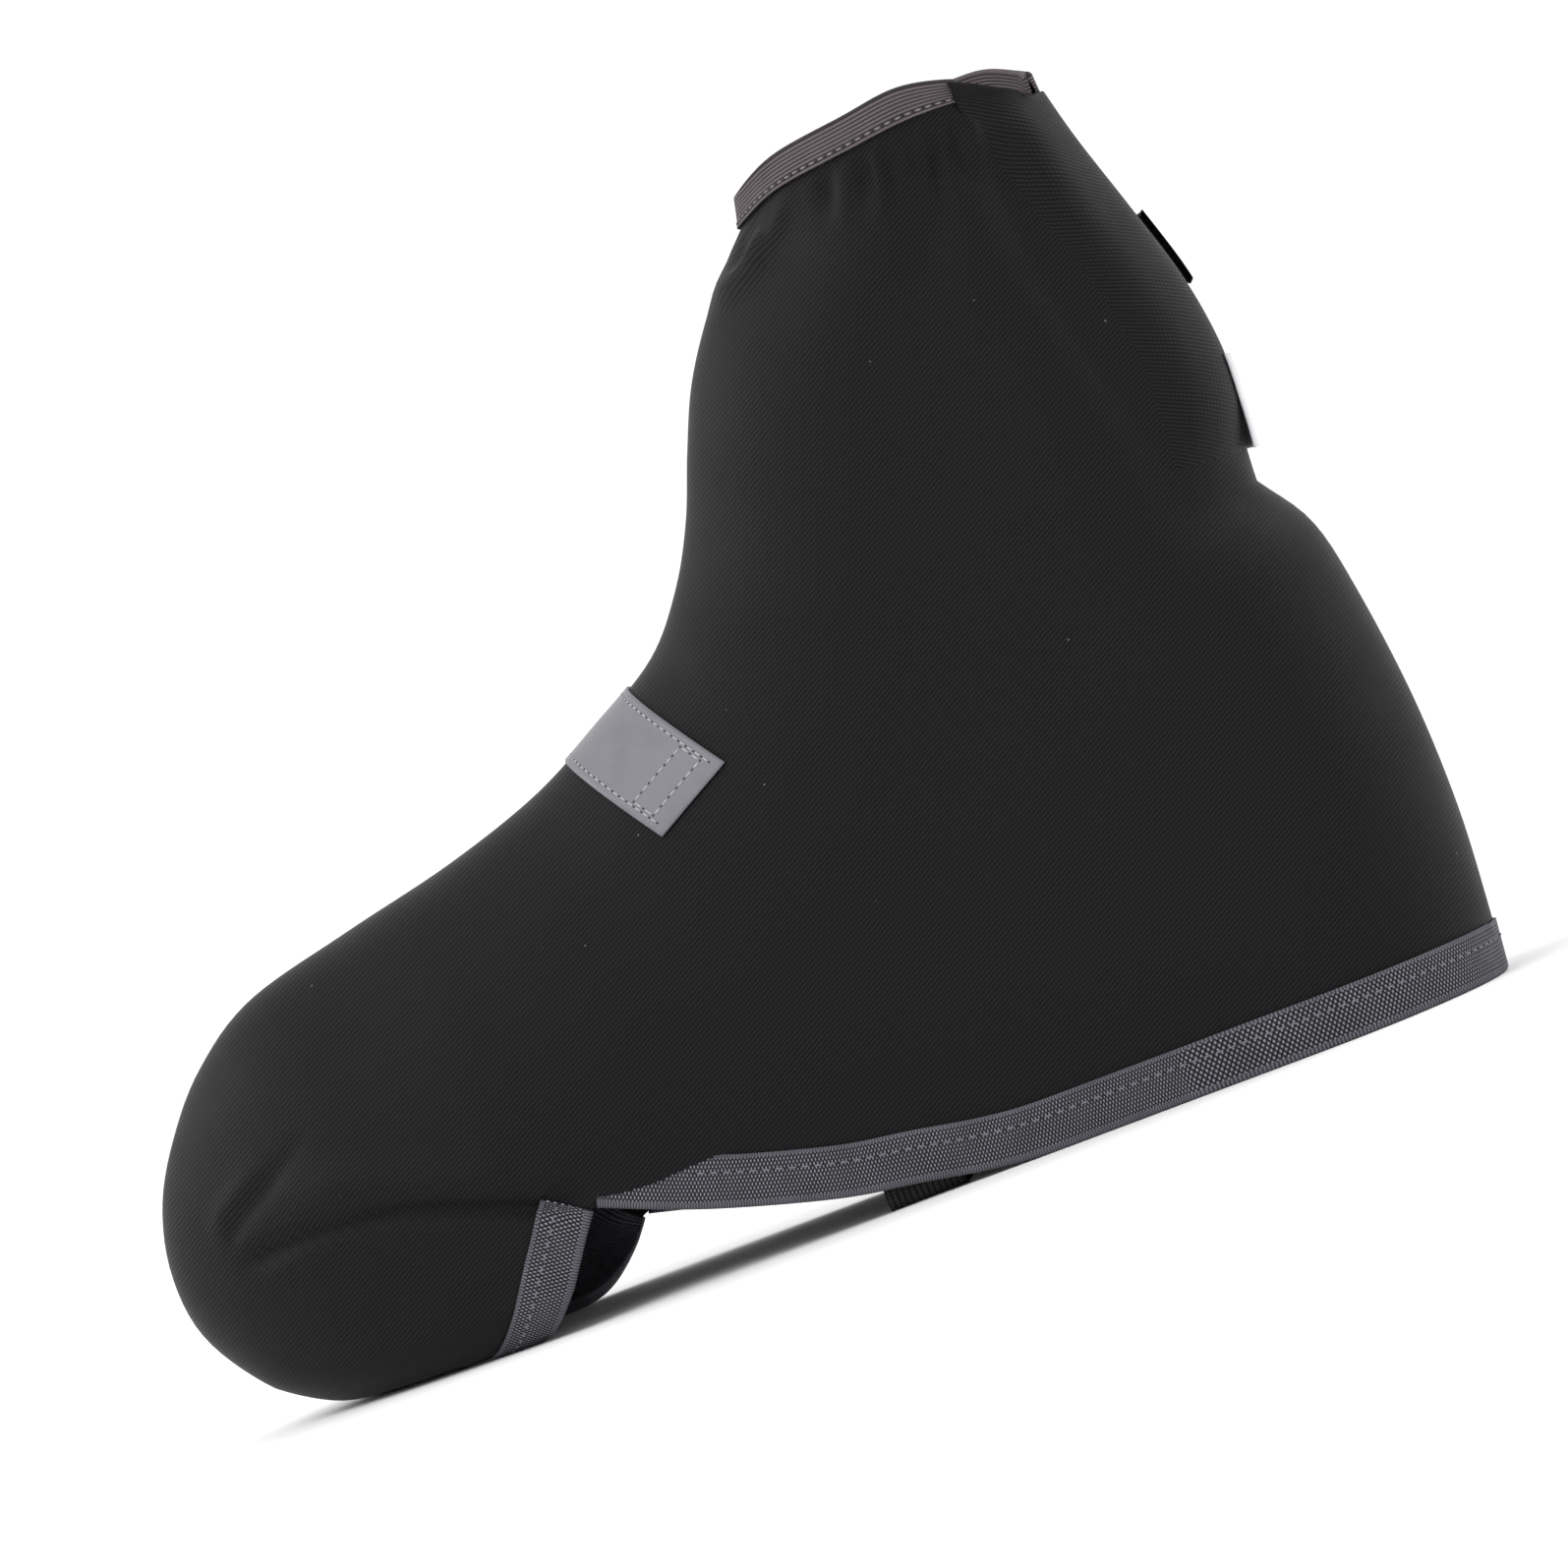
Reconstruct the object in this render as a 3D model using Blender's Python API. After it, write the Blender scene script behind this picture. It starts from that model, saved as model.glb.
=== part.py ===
"""Waterproof shoe cover, standing empty: a hollow fabric upper that is open at the collar and
underneath, with a toe pocket, bound edges, a back closure and an elastic strap under the foot.

Frame: metres, +X towards the heel, -Y the side that the photograph shows, +Z up, floor at z = 0.
Each side of the cover is laid out as a flat pattern of stations and rows between the front seam
and the back seam, hem or pocket edge. The pattern is bent into the standing shape, both sides
are joined at the seams, and every tape, flap and strip is offset from that same surface.
"""

import math
from collections import namedtuple

import bmesh
import bpy
import numpy as np
from mathutils import Vector

# Overall sizes
LENGTH = 0.3439
COLLAR_HEIGHT = 0.2577
INSTEP_HEIGHT = 0.1484
TOE_HEIGHT = 0.0472
HEM_CORNER_HEIGHT = 0.0277
POCKET_DEPTH = 0.0353

# Widths of the last, side to side
BALL_WIDTH = 0.100
WAIST_WIDTH = 0.084
HEEL_WIDTH = 0.088
SHAFT_WIDTH = 0.080
COLLAR_WIDTH = 0.072

# How far from a seam the side reaches its full width
TOE_ROUND = 0.080
COLLAR_ROUND = 0.050
HEEL_ROUND = 0.046
FOLD_RADIUS = 0.010

# How far the collar's arch and the far side's droop reach: share of the back seam, and metres
ARCH_REACH = 0.16
DROOP = 0.42
DROOP_HEIGHT = 0.060
DROOP_LENGTH = 0.055

# Materials and clearance
WALL = 0.0012
TAPE = 0.0006
CLEARANCE = 0.0003
EDGE_LIFT = TAPE + CLEARANCE

# Tapes, strips, flap and strap
BINDING_WIDTH = 0.0123
ELASTIC_WIDTH = 0.0085
CORNER_GAP = 0.0030
STRIP_REACH = 0.032
STRIP_THICKNESS = 0.0005
FLAP_REACH = 0.038
FLAP_START = 0.019
FLAP_THICKNESS = 0.0012
TAB_THICKNESS = 0.0018
STRAP_WIDTH = 0.020
STRAP_THICKNESS = 0.0012
STRAP_PLACE = 0.450
STRAP_RISE = 0.018
STRAP_BEND = 0.004

# Height bands that the seam rows are shares of: lowest and highest height of each
BANDS = {
    "shaft": (INSTEP_HEIGHT, COLLAR_HEIGHT),
    "instep": (TOE_HEIGHT, INSTEP_HEIGHT),
    "toe": (0.0, TOE_HEIGHT),
    "pocket": (0.0, -POCKET_DEPTH),
    "heel": (0.0, INSTEP_HEIGHT),
}

# along: share of LENGTH from the heel; up: share of the height band
SeamRow = namedtuple("SeamRow", "band along up")
FRONT_SEAM = (
    SeamRow("shaft", 0.330, 0.908),
    SeamRow("shaft", 0.336, 0.839),
    SeamRow("shaft", 0.347, 0.807),
    SeamRow("shaft", 0.380, 0.688),
    SeamRow("shaft", 0.409, 0.554),
    SeamRow("shaft", 0.430, 0.411),
    SeamRow("shaft", 0.449, 0.265),
    SeamRow("shaft", 0.474, 0.127),
    SeamRow("instep", 0.509, 1.000),
    SeamRow("instep", 0.564, 0.890),
    SeamRow("instep", 0.624, 0.787),
    SeamRow("instep", 0.701, 0.704),
    SeamRow("instep", 0.790, 0.637),
    SeamRow("instep", 0.874, 0.565),
    SeamRow("instep", 0.926, 0.451),
    SeamRow("instep", 0.962, 0.315),
    SeamRow("instep", 0.988, 0.167),
    SeamRow("toe", 1.000, 1.000),
    SeamRow("toe", 0.995, 0.636),
    SeamRow("toe", 0.967, 0.297),
    SeamRow("toe", 0.925, 0.000),
    SeamRow("pocket", 0.871, 0.482),
    SeamRow("pocket", 0.804, 1.000),
)
BACK_SEAM_UPPER = (
    SeamRow("shaft", 0.1010, 0.879),
    SeamRow("shaft", 0.0910, 0.752),
    SeamRow("shaft", 0.0720, 0.560),
    SeamRow("shaft", 0.0545, 0.370),
    SeamRow("shaft", 0.0465, 0.191),
    SeamRow("shaft", 0.0490, 0.027),
    SeamRow("heel", 0.0520, 0.915),
)
BACK_SEAM_LOWER = (
    SeamRow("heel", 0.0520, 0.915),
    SeamRow("heel", 0.0250, 0.818),
    SeamRow("heel", 0.0122, 0.683),
    SeamRow("heel", 0.0023, 0.487),
    SeamRow("heel", 0.0000, 0.298),
    SeamRow("heel", 0.0041, 0.135),
    SeamRow("heel", 0.0099, 0.000),
)

# lift: share of HEM_CORNER_HEIGHT
HemRow = namedtuple("HemRow", "along lift")
HEM = (
    HemRow(0.0099, 0.00),
    HemRow(0.1300, 0.00),
    HemRow(0.2400, 0.00),
    HemRow(0.3500, 0.00),
    HemRow(0.4000, 0.05),
    HemRow(0.4500, 0.16),
    HemRow(0.5100, 0.29),
    HemRow(0.6000, 0.62),
    HemRow(0.6760, 1.00),
)

# across: share of the collar from its front to its back; arch: height over the straight line
# between the seams; rise: how far the elastic stands over the fabric, both in ELASTIC_WIDTH
CollarRow = namedtuple("CollarRow", "across arch rise")
COLLAR = (
    CollarRow(0.00, 0.00, 0.106),
    CollarRow(0.17, 0.64, 0.106),
    CollarRow(0.42, 1.00, 0.106),
    CollarRow(0.61, 1.27, 0.106),
    CollarRow(0.77, 1.04, 0.400),
    CollarRow(0.88, 0.61, 0.720),
    CollarRow(1.00, 0.00, 0.800),
)

# half: share of half the named width that is in force at this place
FootRow = namedtuple("FootRow", "along width half")
FOOT = (
    FootRow(0.00, HEEL_WIDTH, 1.00),
    FootRow(0.16, HEEL_WIDTH, 1.00),
    FootRow(0.42, WAIST_WIDTH, 1.00),
    FootRow(0.58, WAIST_WIDTH, 1.07),
    FootRow(0.73, BALL_WIDTH, 1.00),
    FootRow(0.88, BALL_WIDTH, 0.96),
    FootRow(1.00, BALL_WIDTH, 0.90),
)
SHAFT_FROM = 0.35
SHAFT_TO = 1.10

# Stations across the pattern, from the collar to the flap tip. front and rear: shares of the
# front seam's length and of the rear line's length; steps: stations from the row before to this
Station = namedtuple("Station", "line front rear steps")
STATIONS = (
    Station("back", 0.110, 0.155, 3),
    Station("back", 0.149, 0.238, 2),
    Station("back", 0.189, 0.317, 2),
    Station("back", 0.235, 0.413, 3),
    Station("back", 0.245, 0.446, 1),
    Station("back", 0.265, 0.905, 6),
    Station("hem", 0.291, 0.348, 7),
    Station("hem", 0.346, 0.478, 3),
    Station("hem", 0.498, 1.000, 8),
    Station("pocket", 0.972, 1.000, 15),
)
TAB_ROWS = (0, 1)
REAR_STRIP_ROWS = (2, 3)
FLAP_END_ROW = 4
HEEL_ROW = 5
INSTEP_STRIP_ROWS = (6, 7)
CORNER_ROW = 8
TIP_ROW = 9
BAND_STATIONS = 3

# Rows along a station: distances from the front seam and from the rear line
FRONT_ROWS = (0.0, 0.002, 0.008, 0.018, STRIP_REACH)
REAR_ROWS = (FLAP_REACH, FLAP_START, 0.009, 0.0025, 0.0)
MIDDLE_ROWS = 4
SHORTEST_RIB = 0.085
BAND_SHARES = (1.0, 0.5, 0.0)

NEAR, FAR = -1, 1
CURVE_STEPS = 5
SHARE_STEP = 0.01
LONGEST_OFFSET = 1.3
SHARP_ANGLE = math.radians(35)


def place_along(along):
    """X of a share of the length, counted from the heel."""
    return LENGTH * (0.5 - along)


def seam_point(row):
    """A seam row as a point of the flat pattern."""
    low, high = BANDS[row.band]
    return place_along(row.along), low + row.up * (high - low)


def smooth_curve(points):
    """A Catmull-Rom curve through the points, as a fine polyline."""
    points = np.array(points)
    padded = np.vstack([2 * points[0] - points[1], points, 2 * points[-1] - points[-2]])
    curve = []
    for a, b, c, d in zip(padded, padded[1:], padded[2:], padded[3:]):
        for t in np.arange(CURVE_STEPS) / CURVE_STEPS:
            curve.append(
                0.5
                * (
                    2 * b
                    + (c - a) * t
                    + (2 * a - 5 * b + 4 * c - d) * t**2
                    + (3 * b - a - 3 * c + d) * t**3
                )
            )
    curve.append(points[-1])
    return np.array(curve)


class Line:
    """A line of the flat pattern that can be read by share of its length."""

    def __init__(self, points):
        self.points = np.array(points)
        steps = np.hypot(*np.diff(self.points, axis=0).T)
        self.reach = np.concatenate([[0.0], np.cumsum(steps)])
        self.length = self.reach[-1]

    def at(self, share):
        s = min(max(share, 0.0), 1.0) * self.length
        return np.array([np.interp(s, self.reach, self.points[:, k]) for k in (0, 1)])

    def inward(self, share, towards):
        """Unit normal of the line at a share, on the side of a given point."""
        ahead = self.at(share + SHARE_STEP) - self.at(share - SHARE_STEP)
        normal = np.array([-ahead[1], ahead[0]]) / np.hypot(*ahead)
        return normal if normal @ (towards - self.at(share)) > 0 else -normal

    def distance(self, point):
        a, b = self.points[:-1], self.points[1:]
        along = b - a
        t = ((point - a) * along).sum(1) / (along**2).sum(1)
        nearest = a + np.clip(t, 0.0, 1.0)[:, None] * along
        return np.hypot(*(point - nearest).T).min()


def pattern_lines():
    """Front seam, back seam, hem and pocket edge of the flat pattern."""
    front = Line(smooth_curve([seam_point(row) for row in FRONT_SEAM]))
    upper = smooth_curve([seam_point(row) for row in BACK_SEAM_UPPER])
    lower = smooth_curve([seam_point(row) for row in BACK_SEAM_LOWER])
    lower[-1][1] = EDGE_LIFT
    back = Line(np.vstack([upper, lower[1:]]))
    hem = smooth_curve(
        [(place_along(row.along), EDGE_LIFT + row.lift * HEM_CORNER_HEIGHT) for row in HEM]
    )
    hem[:, 1] = np.maximum(hem[:, 1], EDGE_LIFT)
    pocket = Line([hem[-1], front.points[-1]])
    return {"front": front, "back": back, "hem": Line(hem), "pocket": pocket}


LINES = pattern_lines()
KNEE_X = LINES["hem"].points[-1][0]


def rounding(distance, reach):
    """Share of the full width at a distance from a seam, as a quarter ellipse."""
    t = min(distance / reach, 1.0)
    return math.sqrt(1.0 - (1.0 - t) ** 2)


def eased(value, low, high):
    """Smooth step from 0 at low to 1 at high."""
    t = min(max((value - low) / (high - low), 0.0), 1.0)
    return t * t * (3 - 2 * t)


def half_width(x, z):
    """Half width of the standing cover at a point of the flat pattern."""
    along = 0.5 - x / LENGTH
    foot = np.interp(along, [r.along for r in FOOT], [r.half * r.width / 2 for r in FOOT])
    up = (z - INSTEP_HEIGHT) / (COLLAR_HEIGHT - INSTEP_HEIGHT)
    shaft = np.interp(up, (0.0, 1.0), (SHAFT_WIDTH / 2, COLLAR_WIDTH / 2))
    high = eased(z, SHAFT_FROM * INSTEP_HEIGHT, SHAFT_TO * INSTEP_HEIGHT)
    front_reach = TOE_ROUND + (COLLAR_ROUND - TOE_ROUND) * high
    point = np.array([x, z])
    width = foot + (shaft - foot) * high
    width *= rounding(LINES["front"].distance(point), front_reach)
    return width * rounding(LINES["back"].distance(point), HEEL_ROUND)


def droop(x, z):
    """How far the far side hangs below the near one where its hem is off the floor."""
    hem = LINES["hem"].points
    lift = np.interp(-x, -hem[:, 0], hem[:, 1]) - EDGE_LIFT
    beside = 1 - eased(KNEE_X - x, 0.0, DROOP_LENGTH)
    return DROOP * lift * beside * (1 - eased(z, lift, lift + DROOP_HEIGHT))


def standing(point, side, on_seam):
    """A point of the flat pattern bent into the standing shape: the toe pocket folds under."""
    x, z = point
    y = 0.0 if on_seam else half_width(x, z)
    if side == FAR and not on_seam:
        z -= droop(x, z)
    if x < KNEE_X and z < EDGE_LIFT + FOLD_RADIUS:
        turn = min((FOLD_RADIUS + EDGE_LIFT - z) / (2 * FOLD_RADIUS), 1.0) * math.pi / 2
        y *= 1 - 2 * FOLD_RADIUS / BALL_WIDTH * (1 - math.cos(turn))
        z = EDGE_LIFT + FOLD_RADIUS * (1 - math.sin(turn))
    return Vector((x, side * y, z))


def rib_rows(length):
    """Distances of the rows from the front seam, along a station of this length."""
    fit = min(1.0, length / SHORTEST_RIB)
    front = [d * fit for d in FRONT_ROWS]
    rear = [length - d * fit for d in REAR_ROWS]
    middle = np.linspace(front[-1], rear[0], MIDDLE_ROWS + 2)[1:-1]
    return front + list(middle) + rear


def collar_value(across, name):
    """A column of the collar table at a share of the collar, in metres."""
    rows = [getattr(row, name) for row in COLLAR]
    return ELASTIC_WIDTH * float(np.interp(across, [row.across for row in COLLAR], rows))


def collar_stations():
    """Stations of the collar's edge and of the elastic's band, as flat rows of points."""
    front, back = LINES["front"], LINES["back"]
    top = np.array([front.at(0.0), back.at(0.0)])
    stations = []
    for k in range(BAND_STATIONS):
        share = k / (BAND_STATIONS - 1)
        ends = [ELASTIC_WIDTH - collar_value(across, "rise") for across in (0.0, 1.0)]
        start = front.at(share * ends[0] / front.length)
        end = back.at(share * ends[1] / back.length)
        length = np.hypot(*(end - start))
        points = []
        for d in rib_rows(length):
            across = d / length
            depth = share * (ELASTIC_WIDTH - collar_value(across, "rise"))
            straight = top[0, 1] + across * (top[1, 1] - top[0, 1])
            x = start[0] + across * (end[0] - start[0])
            z = straight + collar_value(across, "arch") - depth
            points.append(np.array([x, z]))
        points[0], points[-1] = start, end
        stations.append(points)
    return stations


def station_list():
    """Every station as (line, front share, rear share), and the index of each table row."""
    band = ELASTIC_WIDTH * (1 - COLLAR[0].rise) / LINES["front"].length
    band_back = ELASTIC_WIDTH * (1 - COLLAR[-1].rise) / LINES["back"].length
    before = Station("back", band, band_back, 1)
    stations, index = [], []
    for row in STATIONS:
        start = before.rear if row.line == before.line else 0.0
        if row.line != before.line:
            stations.append((row.line, before.front, start))
        for k in range(1, row.steps + 1):
            t = k / row.steps
            rear_t = 1 - math.cos(t * math.pi / 2) if (row.line, start) == ("hem", 0.0) else t
            front = before.front + t * (row.front - before.front)
            stations.append((row.line, front, start + rear_t * (row.rear - start)))
        index.append(BAND_STATIONS + len(stations) - 1)
        before = row
    return stations, index


def rear_ends(line, share, start):
    """A station's points from its rear end out to the edge, and whether they lie on a seam."""
    if line == "back":
        return [LINES["back"].at(share)] * len(BAND_SHARES), True
    if (line, share) in (("hem", 0.0), ("pocket", 1.0)):
        seam = LINES["back"] if line == "hem" else LINES["front"]
        return [seam.at(1 - BINDING_WIDTH * f / seam.length) for f in BAND_SHARES], True
    rear = LINES[line]
    gap = CORNER_GAP / 2 / rear.length
    low = gap if line == "pocket" else 0.0
    high = 1 - gap if line == "hem" else 1.0
    held = min(max(share, low), high)
    normal = rear.inward(held, start)
    return [rear.at(held) + normal * BINDING_WIDTH * f for f in BAND_SHARES], False


def arched(points, arch, fade):
    """Points of a station lifted as the collar's edge is over its own chord."""
    run = arch[-1] - arch[0]
    lifted = [points[0]]
    for point, over in zip(points[1:-1], arch[1:-1]):
        chord = arch[0] + run * (over[0] - arch[0][0]) / run[0]
        lifted.append(point + np.array([0.0, fade * (over[1] - chord[1])]))
    return lifted + [points[-1]]


def flat_pattern():
    """Rows of flat points for every station, with the seam flags, and the rows' indices."""
    extra = len(BAND_SHARES) - 1
    grid = []
    for points in collar_stations():
        flags = [True] + [False] * (len(points) - 2) + [True]
        grid.append((points + [points[-1]] * extra, flags + [True] * extra))
    arch = points
    stations, index = station_list()
    for line, front_share, rear_share in stations:
        start = LINES["front"].at(front_share)
        ends, on_seam = rear_ends(line, rear_share, start)
        length = np.hypot(*(ends[0] - start))
        collapsed = length < CLEARANCE
        shares = [0.0 if collapsed else d / length for d in rib_rows(length)]
        points = [start + t * (ends[0] - start) for t in shares]
        if line == "back":
            points = arched(points, arch, 1 - eased(rear_share, 0.0, ARCH_REACH))
        flags = [True] + [collapsed] * (len(points) - 2) + [on_seam]
        grid.append((points + ends[1:], flags + [on_seam] * extra))
    return grid, index


class Skin:
    """The cover's outer surface as one open mesh, from which every piece is offset."""

    def __init__(self):
        self.mesh = bmesh.new()
        self.grid, self.index = flat_pattern()
        self.rows = len(self.grid[0][0])
        self.main_rows = self.rows - len(BAND_SHARES) + 1
        self.cells = {}
        self.vertices = {}
        self.place_in_mesh = {}
        for side in (NEAR, FAR):
            self.add_side(side)
        bmesh.ops.recalc_face_normals(self.mesh, faces=self.mesh.faces)
        self.mesh.normal_update()
        if self.outward() < 0:
            bmesh.ops.reverse_faces(self.mesh, faces=self.mesh.faces)
            self.mesh.normal_update()
        self.offsets = {
            v: v.normal * min(v.calc_shell_factor(), LONGEST_OFFSET) for v in self.mesh.verts
        }

    def vertex(self, side, i, j):
        points, flags = self.grid[i]
        co = standing(points[j], side, flags[j])
        key = tuple(round(c, 6) for c in co)
        if key not in self.place_in_mesh:
            self.place_in_mesh[key] = self.mesh.verts.new(co)
        return self.place_in_mesh[key]

    def add_side(self, side):
        for i in range(len(self.grid)):
            for j in range(self.rows):
                self.vertices[side, i, j] = self.vertex(side, i, j)
        for i in range(len(self.grid) - 1):
            for j in range(self.rows - 1):
                corners = [(i, j), (i + 1, j), (i + 1, j + 1), (i, j + 1)]
                loop = []
                for corner in corners:
                    v = self.vertices[(side, *corner)]
                    if v not in loop:
                        loop.append(v)
                if len(loop) < 3 or all(abs(v.co.y) < CLEARANCE / 10 for v in loop):
                    continue
                if side == FAR:
                    loop.reverse()
                faces = [self.mesh.faces.new(loop)]
                if len(loop) == 4:
                    made = bmesh.ops.triangulate(self.mesh, faces=faces, quad_method="SHORT_EDGE")
                    faces = made["faces"]
                self.cells[side, i, j] = faces

    def outward(self):
        """Positive where the near side's faces look to the near side."""
        return sum(
            side * face.normal.y * face.calc_area()
            for (side, _, _), faces in self.cells.items()
            for face in faces
        )

    def faces(self, side, stations, rows):
        """Faces of one side between two stations and between two rows."""
        return [
            face
            for i in range(*stations)
            for j in range(*rows)
            for face in self.cells.get((side, i, j), [])
        ]


def principled(name, color, roughness, metallic=0.0):
    """A plain material of the given colour."""
    material = bpy.data.materials.new(name)
    material.use_nodes = True
    shader = material.node_tree.nodes["Principled BSDF"]
    shader.inputs["Base Color"].default_value = (*color, 1.0)
    shader.inputs["Roughness"].default_value = roughness
    shader.inputs["Metallic"].default_value = metallic
    return material


def finished(name, mesh, material):
    """Turns a bmesh into an object of the scene, with clean outward faces."""
    bmesh.ops.remove_doubles(mesh, verts=mesh.verts, dist=1e-6)
    bmesh.ops.recalc_face_normals(mesh, faces=mesh.faces)
    if mesh.calc_volume(signed=True) < 0:
        bmesh.ops.reverse_faces(mesh, faces=mesh.faces)
    data = bpy.data.meshes.new(name)
    mesh.to_mesh(data)
    mesh.free()
    data.shade_smooth()
    data.set_sharp_from_angle(angle=SHARP_ANGLE)
    data.materials.append(material)
    thing = bpy.data.objects.new(name, data)
    bpy.context.scene.collection.objects.link(thing)
    return thing


def boundary_edges(faces):
    """Edges of the faces that only one of them uses."""
    chosen = set(faces)
    found = []
    for face in faces:
        for edge in face.edges:
            if sum(f in chosen for f in edge.link_faces) == 1:
                found.append(edge)
    return found


class Layers:
    """Copies of a patch of the skin at several offsets, joined into a closed solid."""

    def __init__(self, skin, faces):
        self.skin = skin
        self.faces = faces
        self.mesh = bmesh.new()
        self.made = {}

    def at(self, vertex, offset):
        key = vertex, offset
        if key not in self.made:
            self.made[key] = self.new(vertex.co + self.skin.offsets[vertex] * offset)
        return self.made[key]

    def new(self, co):
        """A vertex at this place, or on the floor under it where it would lie lower."""
        return self.mesh.verts.new((co.x, co.y, max(co.z, 0.0)))

    def face(self, corners):
        loop = list(dict.fromkeys(corners))
        if len(loop) >= 3:
            self.mesh.faces.new(loop)

    def sheet(self, offset, outward):
        for face in self.faces:
            loop = [self.at(v, offset) for v in face.verts]
            self.face(loop if outward else loop[::-1])

    def sides(self, edges, outer, inner):
        for edge in edges:
            a, b = edge.verts
            self.face([self.at(a, outer), self.at(b, outer), self.at(b, inner), self.at(a, inner)])


def plate(name, skin, faces, outer, inner, material):
    """A solid between two offsets of a patch of the skin."""
    layers = Layers(skin, faces)
    layers.sheet(outer, True)
    layers.sheet(inner, False)
    layers.sides(boundary_edges(faces), outer, inner)
    return finished(name, layers.mesh, material)


def bound_edge(name, skin, faces, path, wrap, material):
    """A tape folded over the wall's edge: one leaf outside, one inside, joined past the edge.

    path lists the skin's vertices along the edge; wrap gives, for each, the way past the edge
    and how far the tape's inner and outer faces go.
    """
    offsets = (
        CLEARANCE + TAPE,
        CLEARANCE,
        -WALL - CLEARANCE,
        -WALL - CLEARANCE - TAPE,
    )
    layers = Layers(skin, faces)
    on_path = set(path)
    bound = [e for e in boundary_edges(faces) if set(e.verts) <= on_path]
    free = [e for e in boundary_edges(faces) if not set(e.verts) <= on_path]
    for offset, outward in zip(offsets, (True, False, True, False)):
        layers.sheet(offset, outward)
    layers.sides(free, offsets[0], offsets[1])
    layers.sides(free, offsets[2], offsets[3])
    turns = {}
    for k, vertex in enumerate(path):
        direction, inner, outer = wrap(k)
        across = skin.offsets[vertex] - direction * skin.offsets[vertex].dot(direction)
        turns[vertex] = [
            layers.new(vertex.co + across * offset + direction * reach)
            for offset, reach in zip(offsets, (outer, inner, inner, outer))
        ]
    for edge in bound:
        a, b = edge.verts
        ta, tb = turns[a], turns[b]
        for k in range(4):
            layers.face([layers.at(a, offsets[k]), layers.at(b, offsets[k]), tb[k], ta[k]])
        layers.face([ta[0], tb[0], tb[3], ta[3]])
        layers.face([ta[1], tb[1], tb[2], ta[2]])
    for vertex in (path[0], path[-1]):
        t = turns[vertex]
        at = [layers.at(vertex, offset) for offset in offsets]
        layers.face([at[0], at[1], t[1], t[0]])
        layers.face([t[0], t[1], t[2], t[3]])
        layers.face([t[3], t[2], at[2], at[3]])
    return finished(name, layers.mesh, material)


def both_sides(skin, stations, rows):
    """Faces of both sides between two stations and between two rows."""
    return skin.faces(NEAR, stations, rows) + skin.faces(FAR, stations, rows)


def edge_path(skin, stations):
    """Vertices along the bound edge, in order from the near side to the far side."""
    last = skin.rows - 1
    near = [skin.vertices[NEAR, i, last] for i in stations]
    far = [skin.vertices[FAR, i, last] for i in stations]
    return list(dict.fromkeys(near + far[::-1]))


def past_edge(skin, path, k):
    """Unit way out past a bound edge, in the surface and square to the edge."""
    vertex = path[k]
    tangent = path[min(k + 1, len(path) - 1)].co - path[max(k - 1, 0)].co
    way = vertex.normal.cross(tangent).normalized()
    inside = Vector()
    for edge in vertex.link_edges:
        other = edge.other_vert(vertex)
        if other not in (path[max(k - 1, 0)], path[min(k + 1, len(path) - 1)]):
            inside += other.co - vertex.co
    return -way if way.dot(inside) > 0 else way


def make_upper(skin):
    """The hollow upper: the skin with the wall's thickness inwards."""
    fabric = principled("upper_fabric", (0.010, 0.0095, 0.0105), 0.72)
    return plate("upper", skin, list(skin.mesh.faces), 0.0, -WALL, fabric)


def make_hem_binding(skin, tape):
    """Tape round the lower edge, from the near corner round the heel to the far corner."""
    heel, corner = skin.index[HEEL_ROW] + 1, skin.index[CORNER_ROW]
    faces = both_sides(skin, (heel, corner), (skin.main_rows - 1, skin.rows - 1))
    path = edge_path(skin, range(corner, heel - 1, -1))
    down = Vector((0, 0, -1))
    return bound_edge(
        "hem_binding", skin, faces, path, lambda k: (down, CLEARANCE, EDGE_LIFT), tape
    )


def make_toe_binding(skin, tape):
    """Tape round the toe pocket's opening, under the toe from corner to corner."""
    start, tip = skin.index[CORNER_ROW] + 1, skin.index[TIP_ROW]
    faces = both_sides(skin, (start, tip), (skin.main_rows - 1, skin.rows - 1))
    path = edge_path(skin, range(start, tip + 1))
    return bound_edge(
        "toe_binding",
        skin,
        faces,
        path,
        lambda k: (past_edge(skin, path, k), CLEARANCE, EDGE_LIFT),
        tape,
    )


def make_collar_binding(skin):
    """Ribbed elastic round the collar, from the near closure round the front to the far one."""
    band = (0, BAND_STATIONS - 1)
    flap_row = skin.main_rows - len(REAR_ROWS) + 1
    last = skin.main_rows - 1
    faces = skin.faces(NEAR, band, (0, flap_row)) + skin.faces(FAR, band, (0, last))
    near = [skin.vertices[NEAR, 0, j] for j in range(flap_row + 1)]
    far = [skin.vertices[FAR, 0, j] for j in range(1, last + 1)]
    path = near[::-1] + far
    front, rear = LINES["front"].at(0.0)[0], LINES["back"].at(0.0)[0]

    def wrap(k):
        across = (path[k].co.x - front) / (rear - front) if k >= len(near) else 0.0
        rise = collar_value(across, "rise")
        return Vector((0, 0, 1)), rise - TAPE, rise

    elastic = principled("collar_elastic", (0.13, 0.12, 0.115), 0.85)
    return bound_edge("collar_binding", skin, faces, path, wrap, elastic)


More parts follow.
